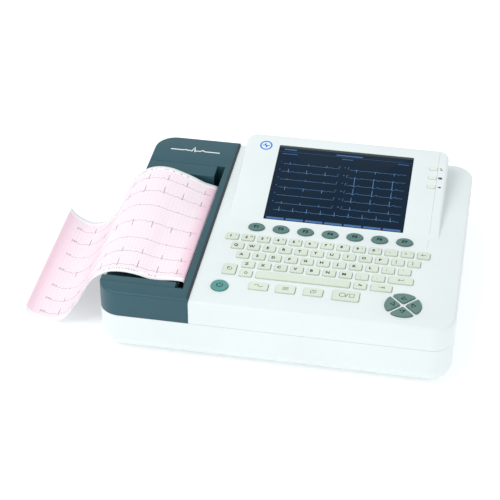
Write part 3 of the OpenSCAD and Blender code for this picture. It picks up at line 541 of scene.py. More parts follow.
def on_plane(points, x, y, height, slope):
    """Local points, z up from a sloping plane, to case millimetres.

    The plane is turned by the slope about X: y' = y cos - z sin, z' = y sin + z cos.
    """
    points = np.asarray(points, float)
    c, s = math.cos(slope), math.sin(slope)
    return np.column_stack([
        x + points[:, 0],
        y + points[:, 1] * c - points[:, 2] * s,
        height(x, y) + points[:, 1] * s + points[:, 2] * c,
    ])


print("seam at", SEAM, "deck at back", deck(0, HALF_D), "CAD frame top", case_box("printer_frame")[1][2])

# %% [markdown]
# One function makes the side and the rim of any shell. It walks round the outline once and lays
# down a stack of rings: the foot of the wall, then the round edge, up to the ring where the flat
# top begins. Each stretch of the outline has its own edge radius and its own foot, because the
# white and the dark moulding are round outside and nearly sharp where they meet.

# %% Shell builder
def joined(*stretches):
    """Stretches of (points, edge radius, foot) as one outline with a radius and foot for each edge."""
    loop = np.vstack([np.atleast_2d(points) for points, _, _ in stretches])
    radius, foot = (np.concatenate([np.full(len(np.atleast_2d(s[0])), s[k], float) for s in stretches])
                    for k in (1, 2))
    return loop, radius, foot


def shell(surface, outline, height, holes, ceiling_holes, lines=(), steps=5):
    """A hollow shell: outer wall, round edge, top, ceiling, inner wall and foot, with no gap.

    The outline's rings step inwards by r (1 - cos t) and down from the top by r (1 - sin t).
    The ceiling lies one wall below the top. Where a foot is higher than the ceiling, the inner
    wall has no height and closes up by itself.
    """
    loop, radius, foot = outline
    corner_radius = np.maximum(radius, np.roll(radius, 1))
    rings = []
    for across, down in quarter_turn(steps):
        ring = inset(loop, radius * across)
        rings.append(raised(ring, height(ring[:, 0], ring[:, 1]) - corner_radius * down))
    inner = inset(loop, WALL)
    ceiling = height(inner[:, 0], inner[:, 1]) - WALL
    twice = np.repeat(np.arange(len(loop)), 2)
    feet = np.column_stack([np.roll(foot, 1), foot]).ravel()
    low = np.minimum(feet, (height(loop[:, 0], loop[:, 1]) - WALL)[twice])
    low_inner = np.minimum(feet, ceiling[twice])
    outer_wall = [raised(loop[twice], low)] + [ring[twice] for ring in rings]
    surface.loft([raised(inner[twice], ceiling[twice]), raised(inner[twice], low_inner), *outer_wall])
    surface.fill(rings[-1][:, :2], holes, height, lines=lines)
    surface.fill(inner, ceiling_holes, lambda x, y: height(x, y) - WALL, flip=True)


def rim(surface, loop, height, radius=0.4, depth=WALL, steps=3, lean=0.0):
    """The wall of a hole, with a small round lip. Returns the loop where the lip meets the top.

    On a steep plane the wall leans: at depth d it stands lean d further back, where lean is
    sin a cos a, so it stays square to a plane that slopes at a.
    """
    rings = []
    for down, out in quarter_turn(steps):
        ring = inset(loop, -radius * out)
        rings.append(raised(ring, height(ring[:, 0], ring[:, 1]) - radius * down))
    foot = loop + (0.0, lean * depth)
    rings.append(raised(foot, height(foot[:, 0], foot[:, 1]) - depth))
    surface.loft(rings)
    return rings[0][:, :2]

def settle(piece, *nodes, body=None):
    """The piece stands in for its CAD nodes and moves with their body."""
    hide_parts(*nodes)
    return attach(piece, body or nodes[0])


# %% [markdown]
# Legends are pad printed: a thin film of ink that stands a few hundredths of a millimetre proud.
# Letters and digits come from the built-in font as solid meshes, and symbols are drawn as
# ribbons, which are flat closed bars that follow a path. Every keyboard of this kind carries the
# same generic letters and digits, and nothing else is written on the machine.

# %% Ink
INK = 0.04
BOLD = 0.038
glyph_store = {}


def glyph(text):
    """Points and faces of a text one unit high, centred, with its base line at zero.

    Letters and digits are made bolder by moving their outlines out. Signs have narrow holes that
    would close, so they keep their weight.
    """
    if text not in glyph_store:
        curve = bpy.data.curves.new("glyph", "FONT")
        curve.body, curve.align_x, curve.resolution_u, curve.extrude = text, "CENTER", 2, 0.5
        curve.offset = BOLD if text.isalnum() else 0.0
        holder = bpy.data.objects.new("glyph", curve)
        mesh = bpy.data.meshes.new_from_object(holder)
        points = np.empty(len(mesh.vertices) * 3)
        mesh.vertices.foreach_get("co", points)
        faces = [list(face.vertices) for face in mesh.polygons]
        glyph_store[text] = points.reshape(-1, 3), faces
        bpy.data.meshes.remove(mesh)
        bpy.data.objects.remove(holder)
        bpy.data.curves.remove(curve)
    return glyph_store[text]


CAP_HEIGHT = glyph("H")[0][:, 1].max()


def letters(text, size, x=0.0, y=0.0):
    """Local points and faces of a text, size millimetres tall, centred on (x, y)."""
    points, faces = glyph(text)
    scale = size / CAP_HEIGHT
    place = [x, y - size / 2, 0.0]
    return points * [scale, scale, INK] + place, faces


def ribbon(path, width, side=None, up=(0.0, 0.0, 1.0), shut=False):
    """A closed flat bar along a path (n, 3): its four corners are +-side w/2 +-up ink/2.

    The side direction is up x tangent, unless it is given for each point.
    """
    path = np.asarray(path, float)
    up = np.broadcast_to(np.asarray(up, float), path.shape)
    if side is None:
        ends = (np.roll(path, 1, axis=0), np.roll(path, -1, axis=0)) if shut else (
            np.vstack([path[:1], path[:-1]]), np.vstack([path[1:], path[-1:]]))
        side = np.cross(up, ends[1] - ends[0])
        side /= np.linalg.norm(side, axis=1)[:, None] + 1e-12
    half, lift = side * width / 2, up * INK / 2
    rings = np.stack([path - half - lift, path + half - lift,
                      path + half + lift, path - half + lift], axis=1)
    count = len(path)
    index = np.arange(count * 4).reshape(count, 4)
    if shut:
        index = np.vstack([index, index[:1]])
    faces = np.stack([index[:-1], np.roll(index[:-1], -1, axis=1),
                      np.roll(index[1:], -1, axis=1), index[1:]], axis=-1).reshape(-1, 4).tolist()
    if not shut:
        faces += [index[0, ::-1].tolist(), index[-1].tolist()]
    return rings.reshape(-1, 3), faces


def drawn(paths, width=0.6):
    """Several flat paths [(x, y), ...] as local ribbons."""
    return [ribbon(raised(np.array(path, float), 0.0), width) for path in paths]


def ring_path(radius, start=0.0, end=360.0, x=0.0, y=0.0):
    """Part of a circle as a path."""
    return arc(x, y, radius, start, end, 24)


# %% [markdown]
# The symbols. No words are written on the keys, and plain symbols say what they do: a sine for
# the mode, three bars for the menu, two sheets for the copy, and a circle and a square for start
# and stop.

# %% Symbols
wave = np.linspace(0, 1, 17)
SYMBOLS = {
    "power": [ring_path(3.4, 125, 415), [(0, 1.2), (0, 4.6)]],
    "mode": [np.column_stack([wave * 10 - 5, 1.9 * np.sin(wave * 2 * np.pi)])],
    "menu": [[(-3.6, y), (3.6, y)] for y in (-2.2, 0, 2.2)],
    "copy": [[(-3, -2.6), (1, -2.6), (1, 1.2), (-3, 1.2), (-3, -2.85)],
             [(-1.2, 1.4), (-1.2, 2.8), (3, 2.8), (3, -1), (1.2, -1)]],
    "start_stop": [ring_path(3.6, 0, 360, -4.2), [(-0.2, -3.4), (2.6, 3.4)],
                   [(4.2, -2.8), (9.6, -2.8), (9.6, 2.8), (4.2, 2.8), (4.2, -3.05)]],
    "arrow": [[(-3.2, -1.9), (3.2, -1.9), (0, 2.7), (-3.35, -2.1)]],
    "back": [[(3, 0), (-3, 0)], [(-1.2, 1.6), (-3, 0), (-1.2, -1.6)]],
    "enter": [[(3.4, 2), (3.4, -0.4), (-3.2, -0.4)], [(-1.4, 1.2), (-3.2, -0.4), (-1.4, -2)]],
    "shift": [[(-1, -2.4), (-1, 0), (-2.6, 0), (0, 2.6), (2.6, 0), (1, 0), (1, -2.4), (-1.2, -2.4)]],
    "tab": [[(-3.4, 0), (2.6, 0)], [(0.9, 1.6), (2.6, 0), (0.9, -1.6)], [(3.5, 1.8), (3.5, -1.8)]],
    "escape": [ring_path(2.7, 150, 480), [(0, 0), (-2.9, 2.9)], [(-2.9, 0.9), (-2.9, 2.9), (-0.9, 2.9)]],
}
print("symbols:", ", ".join(SYMBOLS))

# %% [markdown]
# The keys. A cap is moulded on a flange that keeps it under the deck, and it has a stem down to
# its contact. Its edge is rounded by 0.7 mm and its top is a shallow dish, so a finger finds the
# middle and the edge catches light. Each row of the frame is one row of caps here. The caps take
# their places from the boxes of the frame's own keys.

# %% Keys
FLANGE = 1.1
TILT_SHIFT = 0.118
TILT_LOSS = 0.04
CAP = {"rise": 1.9, "edge": 0.7, "dish": 0.22}
LETTER_KEY = (14.8, 12.4)
LETTER_SIZE, LETTER_AT = 4.5, (-2.0, -0.2)
SECOND_SIZE, SECOND_AT = 2.7, (3.9, 2.0)
key_places = []


def cap(surface, outline, x, y, stem=(0.0, 0.0)):
    """One key: flange, wall, round edge, dished top and stem, on the deck plane at (x, y)."""
    wide = inset(outline, -FLANGE)
    middle = outline.mean(axis=0)
    top = CAP["rise"]
    rings = [raised(wide, -4.7), raised(wide, -3.3), raised(outline, -3.3)]
    rings += [raised(inset(outline, CAP["edge"] * across), top - CAP["edge"] * down)
              for across, down in quarter_turn(4)]
    edge = rings[-1][:, :2]
    rings += [raised(middle + (edge - middle) * share, top - CAP["dish"] * deep)
              for share, deep in ((0.94, 0.35), (0.86, 0.85), (0.80, 1.0))]
    local = Surface()
    local.loft(rings)
    local.lid(rings[-1])
    local.lid(rings[0], flip=True)
    tube = raised(arc(*stem, 2.0, 0, 345, 23), -7.2)
    local.loft([tube, tube + (0, 0, 2.7)])
    local.lid(tube, flip=True)
    local.lid(tube + (0, 0, 2.7))
    surface.add(on_plane(np.vstack(local.points), x, y, deck, DECK_SLOPE), local.faces)


def print_on_cap(surface, shapes, x, y, turn=0.0):
    """Lays local ink shapes on the dish of the cap at (x, y)."""
    for points, faces in shapes:
        flat = turned(points[:, :2], turn)
        local = np.column_stack([flat, points[:, 2] + CAP["rise"] - CAP["dish"] + INK / 2])
        surface.add(on_plane(local, x, y, deck, DECK_SLOPE), faces, 1)


def add_key(surface, outline, x, y, shapes, turn=0.0, stem=(0.0, 0.0)):
    """A cap with its legend. Its outline and place are kept, for the hole in the deck."""
    cap(surface, outline, x, y, stem)
    print_on_cap(surface, shapes, x, y, turn)
    key_places.append((outline, x, y))


def key_outline(width, depth):
    """Outline of a key with four corners."""
    return without_repeats(rounded(width, depth, 1.6, 4))


def row_middles(node, count):
    """Middles of a row of letter keys, from the box of the row."""
    low, high = case_box(node)
    first = low[0] + LETTER_KEY[0] / 2 + FLANGE
    last = high[0] - LETTER_KEY[0] / 2 - FLANGE
    return np.column_stack([np.linspace(first, last, count),
                            np.full(count, (low[1] + high[1]) / 2 - TILT_SHIFT)])


def own_key(node, paint, outline, shapes):
    """A key with a CAD node of its own: outline(width, depth) is fitted into the node's box."""
    low, high = case_box(node)
    width, depth = (high - low)[:2] - 2 * FLANGE
    surface = Surface()
    add_key(surface, outline(width, depth - TILT_LOSS), *(low[:2] + high[:2]) / 2 - (0, TILT_SHIFT), shapes)
    settle(surface.piece(node, paint, legend_ink), node)


ROWS = {
    "number_row_keys": (list("1234567890-=") + ["back"], "!@#$%^&*()_+"),
    "upper_row_keys": (list("QWERTYUIOP[]"), ""),
    "home_row_keys": (list("ASDFGHJKL;'"), ""),
    "lower_row_keys": (list("ZXCVBNM,."), ""),
}
for node, (legends, seconds) in ROWS.items():
    surface = Surface()
    for k, (x, y) in enumerate(row_middles(node, len(legends))):
        if legends[k] in SYMBOLS:
            shapes = drawn(SYMBOLS[legends[k]])
        else:
            shapes = [letters(legends[k], LETTER_SIZE, *LETTER_AT)]
        if k < len(seconds):
            shapes.append(letters(seconds[k], SECOND_SIZE, *SECOND_AT))
        add_key(surface, key_outline(*LETTER_KEY), x, y, shapes)
    settle(surface.piece(node, key_cream, legend_ink), node)

SINGLE_KEYS = {
    "esc_key": "escape", "enter_key": "enter", "space_key": None, "tab_key": "tab",
    "mode_key": "mode", "menu_key": "menu", "copy_key": "copy", "start_stop_key": "start_stop",
}
for node, symbol in SINGLE_KEYS.items():
    own_key(node, key_cream, key_outline, drawn(SYMBOLS[symbol]) if symbol else [])

# %% [markdown]
# The function keys are ovals, the power key is round, and the four arrows are quarters of one
# disc with a slot between them. A quarter is an arc of the disc and two straight sides, with all
# three corners rounded: the corner circles sit inside the shape by their own radius.

# %% Function, power and arrow keys
def quarter_outline(disc, slot, corner=1.6):
    """Outline of an arrow key that points up, about the middle of the disc."""
    reach = disc - corner
    start = 45 + math.degrees(math.asin((slot / 2 + corner) / reach))
    right = reach * np.array([math.cos(math.radians(start)), math.sin(math.radians(start))])
    apex = (slot / 2 + corner) * math.sqrt(2)
    return without_repeats(np.vstack([
        arc(*right, corner, -45, start, 4),
        arc(0, 0, disc, start, 180 - start, 16),
        arc(-right[0], right[1], corner, 180 - start, 225, 4),
        arc(0, apex, corner, 225, 315, 4),
    ]))


for k in range(7):
    own_key(f"f{k + 1}_key", key_grey, ellipse, [letters(f"F{k + 1}", 5.0)])
own_key("power_key", key_teal, lambda width, depth: ellipse(width, width), drawn(SYMBOLS["power"], 0.9))

pad_low, pad_high = case_box("arrow_left_key")[0], case_box("arrow_right_key")[1]
pad_x = (pad_low[0] + pad_high[0]) / 2
pad_y = (case_box("arrow_down_key")[0][1] + case_box("arrow_up_key")[1][1]) / 2 - TILT_SHIFT
arrow = [(points + (0, 12.2, 0), faces) for points, faces in drawn(SYMBOLS["arrow"], 1.2)]
for quarter, side in enumerate(("up", "left", "down", "right")):
    turn = 90 * quarter
    stem = turned(np.array([(0.0, 12.8)]), turn)[0]
    surface = Surface()
    add_key(surface, turned(quarter_outline(21.2, 4.0), turn), pad_x, pad_y, arrow, turn, stem)
    settle(surface.piece(f"arrow_{side}_key", key_sage, legend_ink), f"arrow_{side}_key")

# %% [markdown]
# The shift and Fn keys share a CAD node, so they share a piece here too.

# %% Shift and Fn keys
low, high = case_box("shift_fn_keys")
y = (low[1] + high[1]) / 2 - TILT_SHIFT
surface = Surface()
for x, shapes in ((low[0] + LETTER_KEY[0] / 2 + FLANGE, drawn(SYMBOLS["shift"])),
                  (high[0] - LETTER_KEY[0] / 2 - FLANGE, [letters("Fn", 3.2)])):
    add_key(surface, key_outline(*LETTER_KEY), x, y, shapes)
settle(surface.piece("shift_fn_keys", key_cream, legend_ink), "shift_fn_keys")
print("keys:", len(key_places))

# %% [markdown]
# The white upper shell. Its outline runs from the joint with the printer frame round the front,
# the right side and the back. The deck is one flat moulding with a hole for every key, and a
# hollow hood for the screen. The hood's side walls are blended into the deck by a small fillet
# and rounded at the top; both radii shrink with the wall towards the front crease, where the wall
# runs out. Two extra lines beside the crease let the shading turn softly over 7 mm.

# %% Upper case
GAP = 0.4
white_x0 = case_box("upper_case")[0][0]
foot = SEAM + PARTING
EDGE, BUTT_EDGE = 3.6, 0.35
front = np.vstack([(white_x0, -HALF_D), run((white_x0, -HALF_D), (HALF_W - CORNER_R, -HALF_D)),
                   arc(HALF_W - CORNER_R, -HALF_D + CORNER_R, CORNER_R, -90, 0, 18)])
side = run(front[-1], (HALF_W, HALF_D - CORNER_R))
back = np.vstack([arc(HALF_W - CORNER_R, HALF_D - CORNER_R, CORNER_R, 0, 90, 18),
                  run((HALF_W - CORNER_R, HALF_D), (white_x0, HALF_D))])
butt = np.vstack([(white_x0, HALF_D), run((white_x0, HALF_D), (white_x0, -HALF_D))])
white_outline = joined((np.vstack([front, side, back]), EDGE, foot), (butt, BUTT_EDGE, 1e6))

hood_left, hood_front, hood_right, hood_back = HOOD
HOOD_R = 13.0
hood_loop = without_repeats(np.vstack([
    (hood_left, hood_front), run((hood_left, hood_front), (hood_right, hood_front), 9.0),
    (hood_right, hood_front), run((hood_right, hood_front), (hood_right, hood_back - HOOD_R), 6.0),
    arc(hood_right - HOOD_R, hood_back - HOOD_R, HOOD_R, 0, 90, 12),
    run((hood_right - HOOD_R, hood_back), (hood_left + HOOD_R, hood_back), 9.0),
    arc(hood_left + HOOD_R, hood_back - HOOD_R, HOOD_R, 90, 180, 12),
    run((hood_left, hood_back - HOOD_R), (hood_left, hood_front), 6.0),
]))


def hood_wall(surface, holes, ceiling_holes, fillet=2.0, edge=4.0):
    """The raised hood: base fillet, wall, round edge, top, and the same again one wall inside.

    The wall's height is h(y) = hood - deck, and neither radius is more than 0.45 h.
    """
    tall = (hood(0, hood_loop[:, 1]) - deck(0, hood_loop[:, 1]))[:, None]
    base, top = np.minimum(fillet, 0.45 * tall), np.minimum(edge, 0.45 * tall)
    inward = inset(hood_loop, 1.0) - hood_loop
    rings = []
    for down, out in quarter_turn(3):
        ring = hood_loop - inward * base * out
        rings.append(raised(ring, deck(0, ring[:, 1]) + base[:, 0] * down))
    for across, down in quarter_turn(6):
        ring = hood_loop + inward * top * across
        rings.append(raised(ring, hood(0, ring[:, 1]) - top[:, 0] * down))
    surface.loft(rings)
    crease = np.array([(hood_left + 6, hood_front + 3.5), (hood_right - 6, hood_front + 3.5)])
    surface.fill(rings[-1][:, :2], holes, hood, lines=[crease])
    inner = inset(hood_loop, WALL)
    surface.loft([raised(inner, plane(0, inner[:, 1]) - WALL) for plane in (hood, deck)])
    surface.fill(inner, ceiling_holes, lambda x, y: hood(x, y) - WALL, flip=True)
    return rings[0][:, :2], inner


white = Surface()
key_loops = [inset(outline, -GAP) * (1, math.cos(DECK_SLOPE)) + (x, y) for outline, x, y in key_places]
key_lips = [rim(white, loop, deck) for loop in key_loops]

window_low, window_high = case_box("display_window")
LEAN = math.sin(HOOD_SLOPE) * math.cos(HOOD_SLOPE)
WINDOW = {"top": -0.8, "thick": 2.3}
window_size = (window_high - window_low)[:2] - (0.0, WINDOW["thick"] * math.sin(HOOD_SLOPE))
window_mid = (window_low + window_high)[:2] / 2
window_mid[1] += (WINDOW["top"] - WINDOW["thick"] / 2) * math.sin(HOOD_SLOPE)
window_hole = without_repeats(rounded(*window_size + 0.4, 1.0, 3)) + window_mid
lens_low, lens_high = case_box("indicator_lenses")
lens_x = (lens_low[0] + lens_high[0]) / 2
lens_size = np.array([10.0, 5.4])
lens_ys = np.linspace(lens_high[1] - lens_size[1] / 2, lens_low[1] + lens_size[1] / 2, 3) - 0.1
lens_holes = [without_repeats(rounded(*lens_size, 0.8, 3)) + (lens_x, y) for y in lens_ys]
hood_holes = [window_hole, *lens_holes]
hood_lips = [rim(white, loop, hood, 0.5, lean=LEAN) for loop in hood_holes]
hood_foot, hood_inner = hood_wall(white, hood_lips, [loop + (0.0, LEAN * WALL) for loop in hood_holes])

crease = np.array([(hood_left + 4, hood_front - 3.5), (hood_right - 4, hood_front - 3.5)])
shell(white, white_outline, deck, [*key_lips, hood_foot], [*key_loops, hood_inner], lines=[crease])
upper = white.piece("upper_case", case_white, legend_ink, sharp=30.0)
settle(upper, "upper_case", body="case")

# %% [markdown]
# The dark printer frame is the same kind of shell as the white one. Its plan is a C: a strip in
# front of the paper door, a strip behind it, and a bar between the door and the white case. Its
# outer edges are rounder than the edges of the door's opening. Under the opening run two guide
# rails, and the door's tongues slide between each rail and the shell.

# %% Printer frame
SLOT_X, BUTT_X = -109.0, case_box("printer_frame")[1][0]
door_low, door_high = case_box("paper_door")
DOOR_Y = (door_low[1] + 3.0, door_high[1] - 3.0)
OPEN_Y = (DOOR_Y[0] - 0.5, DOOR_Y[1] + 0.5)
DARK_EDGE, NOTCH_EDGE, GUIDE_FOOT = 2.6, 0.6, 64.0

corner_y = -HALF_D + CORNER_R
cut_angle = 180 + math.degrees(math.asin((corner_y - OPEN_Y[0]) / CORNER_R))
front_left = np.delete(arc(-HALF_W + CORNER_R, corner_y, CORNER_R, cut_angle, 270, 24), (1, 2), axis=0)
front_side = np.vstack([front_left, run((-HALF_W + CORNER_R, -HALF_D), (BUTT_X, -HALF_D))])
right_side = np.vstack([(BUTT_X, -HALF_D), run((BUTT_X, -HALF_D), (BUTT_X, HALF_D))])
back_left = arc(-HALF_W + CORNER_R, HALF_D - CORNER_R, CORNER_R, 90, 180, 16)
back_side = np.vstack([(BUTT_X, HALF_D), run((BUTT_X, HALF_D), (-HALF_W + CORNER_R, HALF_D)), back_left,
                       run((-HALF_W, HALF_D - CORNER_R), (-HALF_W, OPEN_Y[1]))])
notch_back = np.vstack([(-HALF_W, OPEN_Y[1]), run((-HALF_W, OPEN_Y[1]), (SLOT_X, OPEN_Y[1]))])
slot_edge = np.vstack([(SLOT_X, OPEN_Y[1]), run((SLOT_X, OPEN_Y[1]), (SLOT_X, OPEN_Y[0]))])
notch_front = np.vstack([(SLOT_X, OPEN_Y[0]), run((SLOT_X, OPEN_Y[0]), front_left[0])])
dark_outline = joined(
    (front_side, DARK_EDGE, foot), (right_side, BUTT_EDGE, 82.0), (back_side, DARK_EDGE, foot),
    (notch_back, NOTCH_EDGE, GUIDE_FOOT), (slot_edge, 1.0, 83.0), (notch_front, NOTCH_EDGE, GUIDE_FOOT),
)
dark = Surface()
shell(dark, dark_outline, dark_top, [], [])
for y in (OPEN_Y[0] - 5.0, OPEN_Y[1]):
    dark.block((-HALF_W + WALL + 3.0, y, foot), (SLOT_X - 4.0, y + 5.0, 59.8))

# The pulse line that is printed on the back strip: flat, with one heartbeat in it
PULSE = [(0, 0), (18, 0), (20, 1.5), (22, 0), (27, 0), (28.4, -1.75), (31, 8.75), (33.4, -3.75), (35, 0),
         (40, 0), (43, 2.5), (46, 0), (66, 0)]
PULSE_AT = (-188.0, 140.0)
for points, faces in drawn([PULSE], 1.9):
    dark.add(on_plane(points, *PULSE_AT, dark_top, DECK_SLOPE), faces, 1)

# A black strip on the frame's side face, along the joint with the white case
joint_strip_y = np.array([-HALF_D + 4.0, HALF_D - 4.0])
joint_strip = np.column_stack([np.full(2, BUTT_X - 1.2), joint_strip_y, dark_top(0.0, joint_strip_y) + 0.04])
dark.add(*ribbon(joint_strip, 2.2, up=(0.0, -math.sin(DECK_SLOPE), math.cos(DECK_SLOPE))), 2)
white_ink = moulded("white_ink", (0.85, 0.88, 0.88), 0.5)
dark_frame = dark.piece("printer_frame", slate, white_ink, black_plastic, sharp=30.0)
settle(dark_frame, "printer_frame", body="case")

# %% [markdown]
# The paper door is one moulding whose section changes along the machine: raised strips at both
# ends carry on the frame's top, and between them lies the trough that the paper runs over. So it
# is lofted along Y from closed sections. A section goes up the left wall, round the left edge,
# across the top to the right end, and back along the inside. The strips' inner edges are rounded
# by sections that sink a little as they move outwards.

# %% Paper door
DOOR_X = (-HALF_W, -118.8)
TROUGH_Z, LID, TROUGH_EDGE = 80.0, 2.5, 7.0
STRIP_Y = (-137.6, 86.0)
door_foot = SEAM + 0.4


def door_section(y, y_inside, top, edge, sink=0.0, thick=LID):
    """A closed section at y: its outside is top - sink high, its inside lies at y_inside.

    The left side follows the case's round corner: x = -w/2 + r - sqrt(r^2 - dy^2).
    """
    over = max(0.0, corner_y - y)
    left = DOOR_X[0] + CORNER_R - math.sqrt(CORNER_R ** 2 - over ** 2) + sink * 0.3
    high = top - sink
    painted_bend_shade = arc(left + edge, high - edge, edge, 180, 90, 8)
    right = DOOR_X[1]
    outside = [(left, door_foot), *painted_bend_shade, (right - 0.5, high), (right, high - 0.5), (right, high - thick)]
    inner = max(edge - 1.0, 0.5)
    hollow = arc(left + thick + inner, top - thick - inner, inner, 180, 90, 8)[::-1]
    back = [(right - 2.0, top - thick), *hollow, (left + thick, door_foot)]
    return np.array([(x, y, z) for x, z in outside] + [(x, y_inside, z) for x, z in back])


def strip_top(y):
    """Height of a raised strip at y."""
    return float(dark_top(0.0, y))


STRIP_EDGE, STRIP_ROUND = 2.6, 1.6


def strip_sections(outer_end, inner_end):
    """Sections of a raised strip from its outer end, whose inner end is a quarter round."""
    way = 1 if inner_end > outer_end else -1
    high = strip_top(outer_end)
    strip = [door_section(outer_end, outer_end, high, STRIP_EDGE, 0.5),
             door_section(outer_end + 0.5 * way, outer_end + 2 * way, high, STRIP_EDGE)]
    for across, down in reversed(quarter_turn(5)):
        y = inner_end - way * STRIP_ROUND * across
        strip.append(door_section(y, inner_end - way * 2.0, strip_top(y), STRIP_EDGE, STRIP_ROUND * down))
    return strip


trough = [door_section(y, y + shift, TROUGH_Z, TROUGH_EDGE)
          for y, shift in ((STRIP_Y[0], -2.0), (STRIP_Y[0] + 12, 0.0), (-60.0, 0.0), (0.0, 0.0),
                           (STRIP_Y[1] - 12, 0.0), (STRIP_Y[1], 2.0))]
front_strip = strip_sections(DOOR_Y[0], STRIP_Y[0])
back_strip = strip_sections(DOOR_Y[1], STRIP_Y[1])[::-1]
rings = np.array(front_strip + trough + back_strip)
door = Surface()
door.loft(rings)
door.faces += [list(range(rings.shape[1]))[::-1], list(range(door.count - rings.shape[1], door.count))]
door.paints += [0, 0]
for y in (DOOR_Y[0] - 3.0, DOOR_Y[1] - 2.0):
    door.block((DOOR_X[1] - 16.0, y, 60.3), (DOOR_X[1], y + 5.0, 63.0))
for y in (DOOR_Y[0], DOOR_Y[1] - 2.0):
    door.block((DOOR_X[1] - 16.0, y, 62.8), (DOOR_X[1] - 0.02, y + 2.0, TROUGH_Z - 1.0))
for y in (case_box("platen_bushes")[0][1], case_box("platen_bushes")[1][1] - 2.5):
    door.block((-129.0, y + 0.1, 60.5), (-115.0, y + 2.4, TROUGH_Z - 1.2))
settle(door.piece("paper_door", slate, sharp=30.0), "paper_door", body="door")

# %% [markdown]
# The screen. Behind the window, a monitor shows twelve leads in two columns, a long rhythm strip
# below them, a bar on top and soft keys at the bottom. A heartbeat is a sum of bell curves, one
# for each wave P, Q, R, S and T, and each lead sees the same beat with its own size and sign. The
# lines are lit ribbons just above the dark glass.

# %% Screen
WAVES = np.array([  # place in the beat, height, width
    (0.22, 0.10, 0.028), (0.345, -0.12, 0.008), (0.37, 1.00, 0.009),
    (0.395, -0.22, 0.009), (0.60, 0.20, 0.045),
])


def heartbeat(phase):
    """Height of the trace at a phase of 0 to 1: the sum of a exp(-((phase - c) / w)^2)."""
    phase = np.mod(phase, 1.0)[:, None]
    return (WAVES[:, 1] * np.exp(-((phase - WAVES[:, 0]) / WAVES[:, 2]) ** 2)).sum(axis=1)


def trace(start, end, level, size, beats, shift=0.0, density=7.0):
    """A flat path (n, 2) along X with beats heartbeats, each of them size high above level."""
    x = np.linspace(start, end, int((end - start) * density))
    return np.column_stack([x, level + size * heartbeat(shift + beats * (x - start) / (end - start))])


screen_glass = Paint("screen_glass", (0.004, 0.013, 0.026), 0.25, Specular_IOR_Level=0.08)
screen_haze = screen_glass.noise(14.0, 3.0)
screen_tone = screen_glass.mix(screen_haze, (0.003, 0.011, 0.022, 1.0), (0.005, 0.016, 0.034, 1.0))
screen_glass.set("Base Color", screen_tone)
screen_glass.set("Emission Color", (0.20, 0.50, 1.0, 1.0))
screen_glass.set("Emission Strength", 0.010)


def lit(name, colour, strength):
    """A lit line on the screen, a little uneven along its length as on a real panel."""
    paint = Paint(name, colour, 0.4)
    glow = paint.ramp(paint.noise(90.0, 2.0), 0.3, 0.7)
    paint.set("Emission Color", paint.mix(glow, tuple(c * 0.8 for c in colour) + (1.0,), (*colour, 1.0)))
    paint.set("Emission Strength", strength)
    return paint


trace_light = lit("trace_light", (0.09, 0.24, 0.48), 0.24)
bar_light = lit("bar_light", (0.03, 0.11, 0.28), 0.26)
top_strip_paint = moulded("top_strip", (0.045, 0.065, 0.060), 0.45, Specular_IOR_Level=0.2)

screen = Surface()
glass_top = WINDOW["top"]
half_w, half_d = window_size[0] / 2, window_size[1] / 2 / math.cos(HOOD_SLOPE)
glass_outline = without_repeats(rounded(2 * half_w, 2 * half_d, 0.9, 3))
glass_rings = [raised(glass_outline, glass_top - WINDOW["thick"])]
glass_rings += [raised(inset(glass_outline, 0.3 * across), glass_top - 0.3 * down)
                for across, down in quarter_turn(2)]
local = Surface()
local.loft(glass_rings)
local.lid(glass_rings[-1])
local.lid(glass_rings[0], flip=True)


def on_screen(shapes, paint):
    """Lays flat local shapes on the glass."""
    for points, faces in shapes:
        local.add(points + (0.0, 0.0, glass_top + INK / 2), faces, paint)


def flat_bar(x0, x1, y, width):
    """A straight bar of light along X."""
    return ribbon([(x0, y, 0.0), (x1, y, 0.0)], width)


LEADS = [  # size and sign of the beat in each lead, left column then right column
    (3.2, 0.0), (5.6, 0.02), (2.0, 0.0), (-5.0, 0.01), (0.9, 0.0), (3.4, 0.02),
    (-4.2, 0.0), (-7.5, 0.02), (9.5, 0.01), (10.5, 0.0), (8.0, 0.02), (5.0, 0.0),
]
LEAD_LEVELS = np.linspace(33.0, -36.0, 6)
COLUMNS = [  # where a trace starts and ends, its calibration step, and its number
    (-77.5, -6.5, -6.3, -80.5), (8.1, 80.5, 5.3, 2.0),
]
TRACE, BAR, TOP_STRIP = 1, 2, 3
for k, (size, shift) in enumerate(LEADS):
    start, end, step, number = COLUMNS[k // 6]
    level = LEAD_LEVELS[k % 6]
    on_screen(drawn([trace(start, end, level, size, 3, shift)], 0.28), TRACE)
    calibration = [(step, level), (step + 0.8, level), (step + 0.8, level + 4), (step + 2.6, level + 4)]
    on_screen(drawn([calibration], 0.3), TRACE)
    on_screen([letters(str(k + 1), 2.0, number, level + 3.0)], BAR)
on_screen(drawn([trace(-77, 80, -48.0, 6.5, 9)], 0.3), TRACE)
TOP_BARS = [  # left end, right end, distance below the top of the glass, width
    (-half_w + 1, half_w - 1, 10.5, 0.25), (-80, -64, 6.5, 1.6), (-12, 22, 8.0, 1.8),
    (-82, -62, 14.5, 0.9), (-4, 10, 14.5, 0.9), (68, 82, 14.0, 0.9),
]
on_screen([flat_bar(start, end, half_d - below, width) for start, end, below, width in TOP_BARS], BAR)
soft_key = (2 * half_w - 4) / 7
for k in range(7):
    left = -half_w + 2 + k * soft_key
    on_screen([flat_bar(left + 1.2, left + soft_key - 1.2, -half_d + 3.0, 3.2)], BAR)
# A dark strip along the top edge of the glass, where the window's recess wall looks dark
on_screen([flat_bar(-half_w + 0.5, half_w - 0.5, half_d - 1.9, 3.0)], TOP_STRIP)
screen.add(on_plane(np.vstack(local.points), *window_mid, hood, HOOD_SLOPE), local.faces)
screen.paints = local.paints
window = screen.piece("display_window", screen_glass, trace_light, bar_light, top_strip_paint)
settle(window, "display_window", body="case")
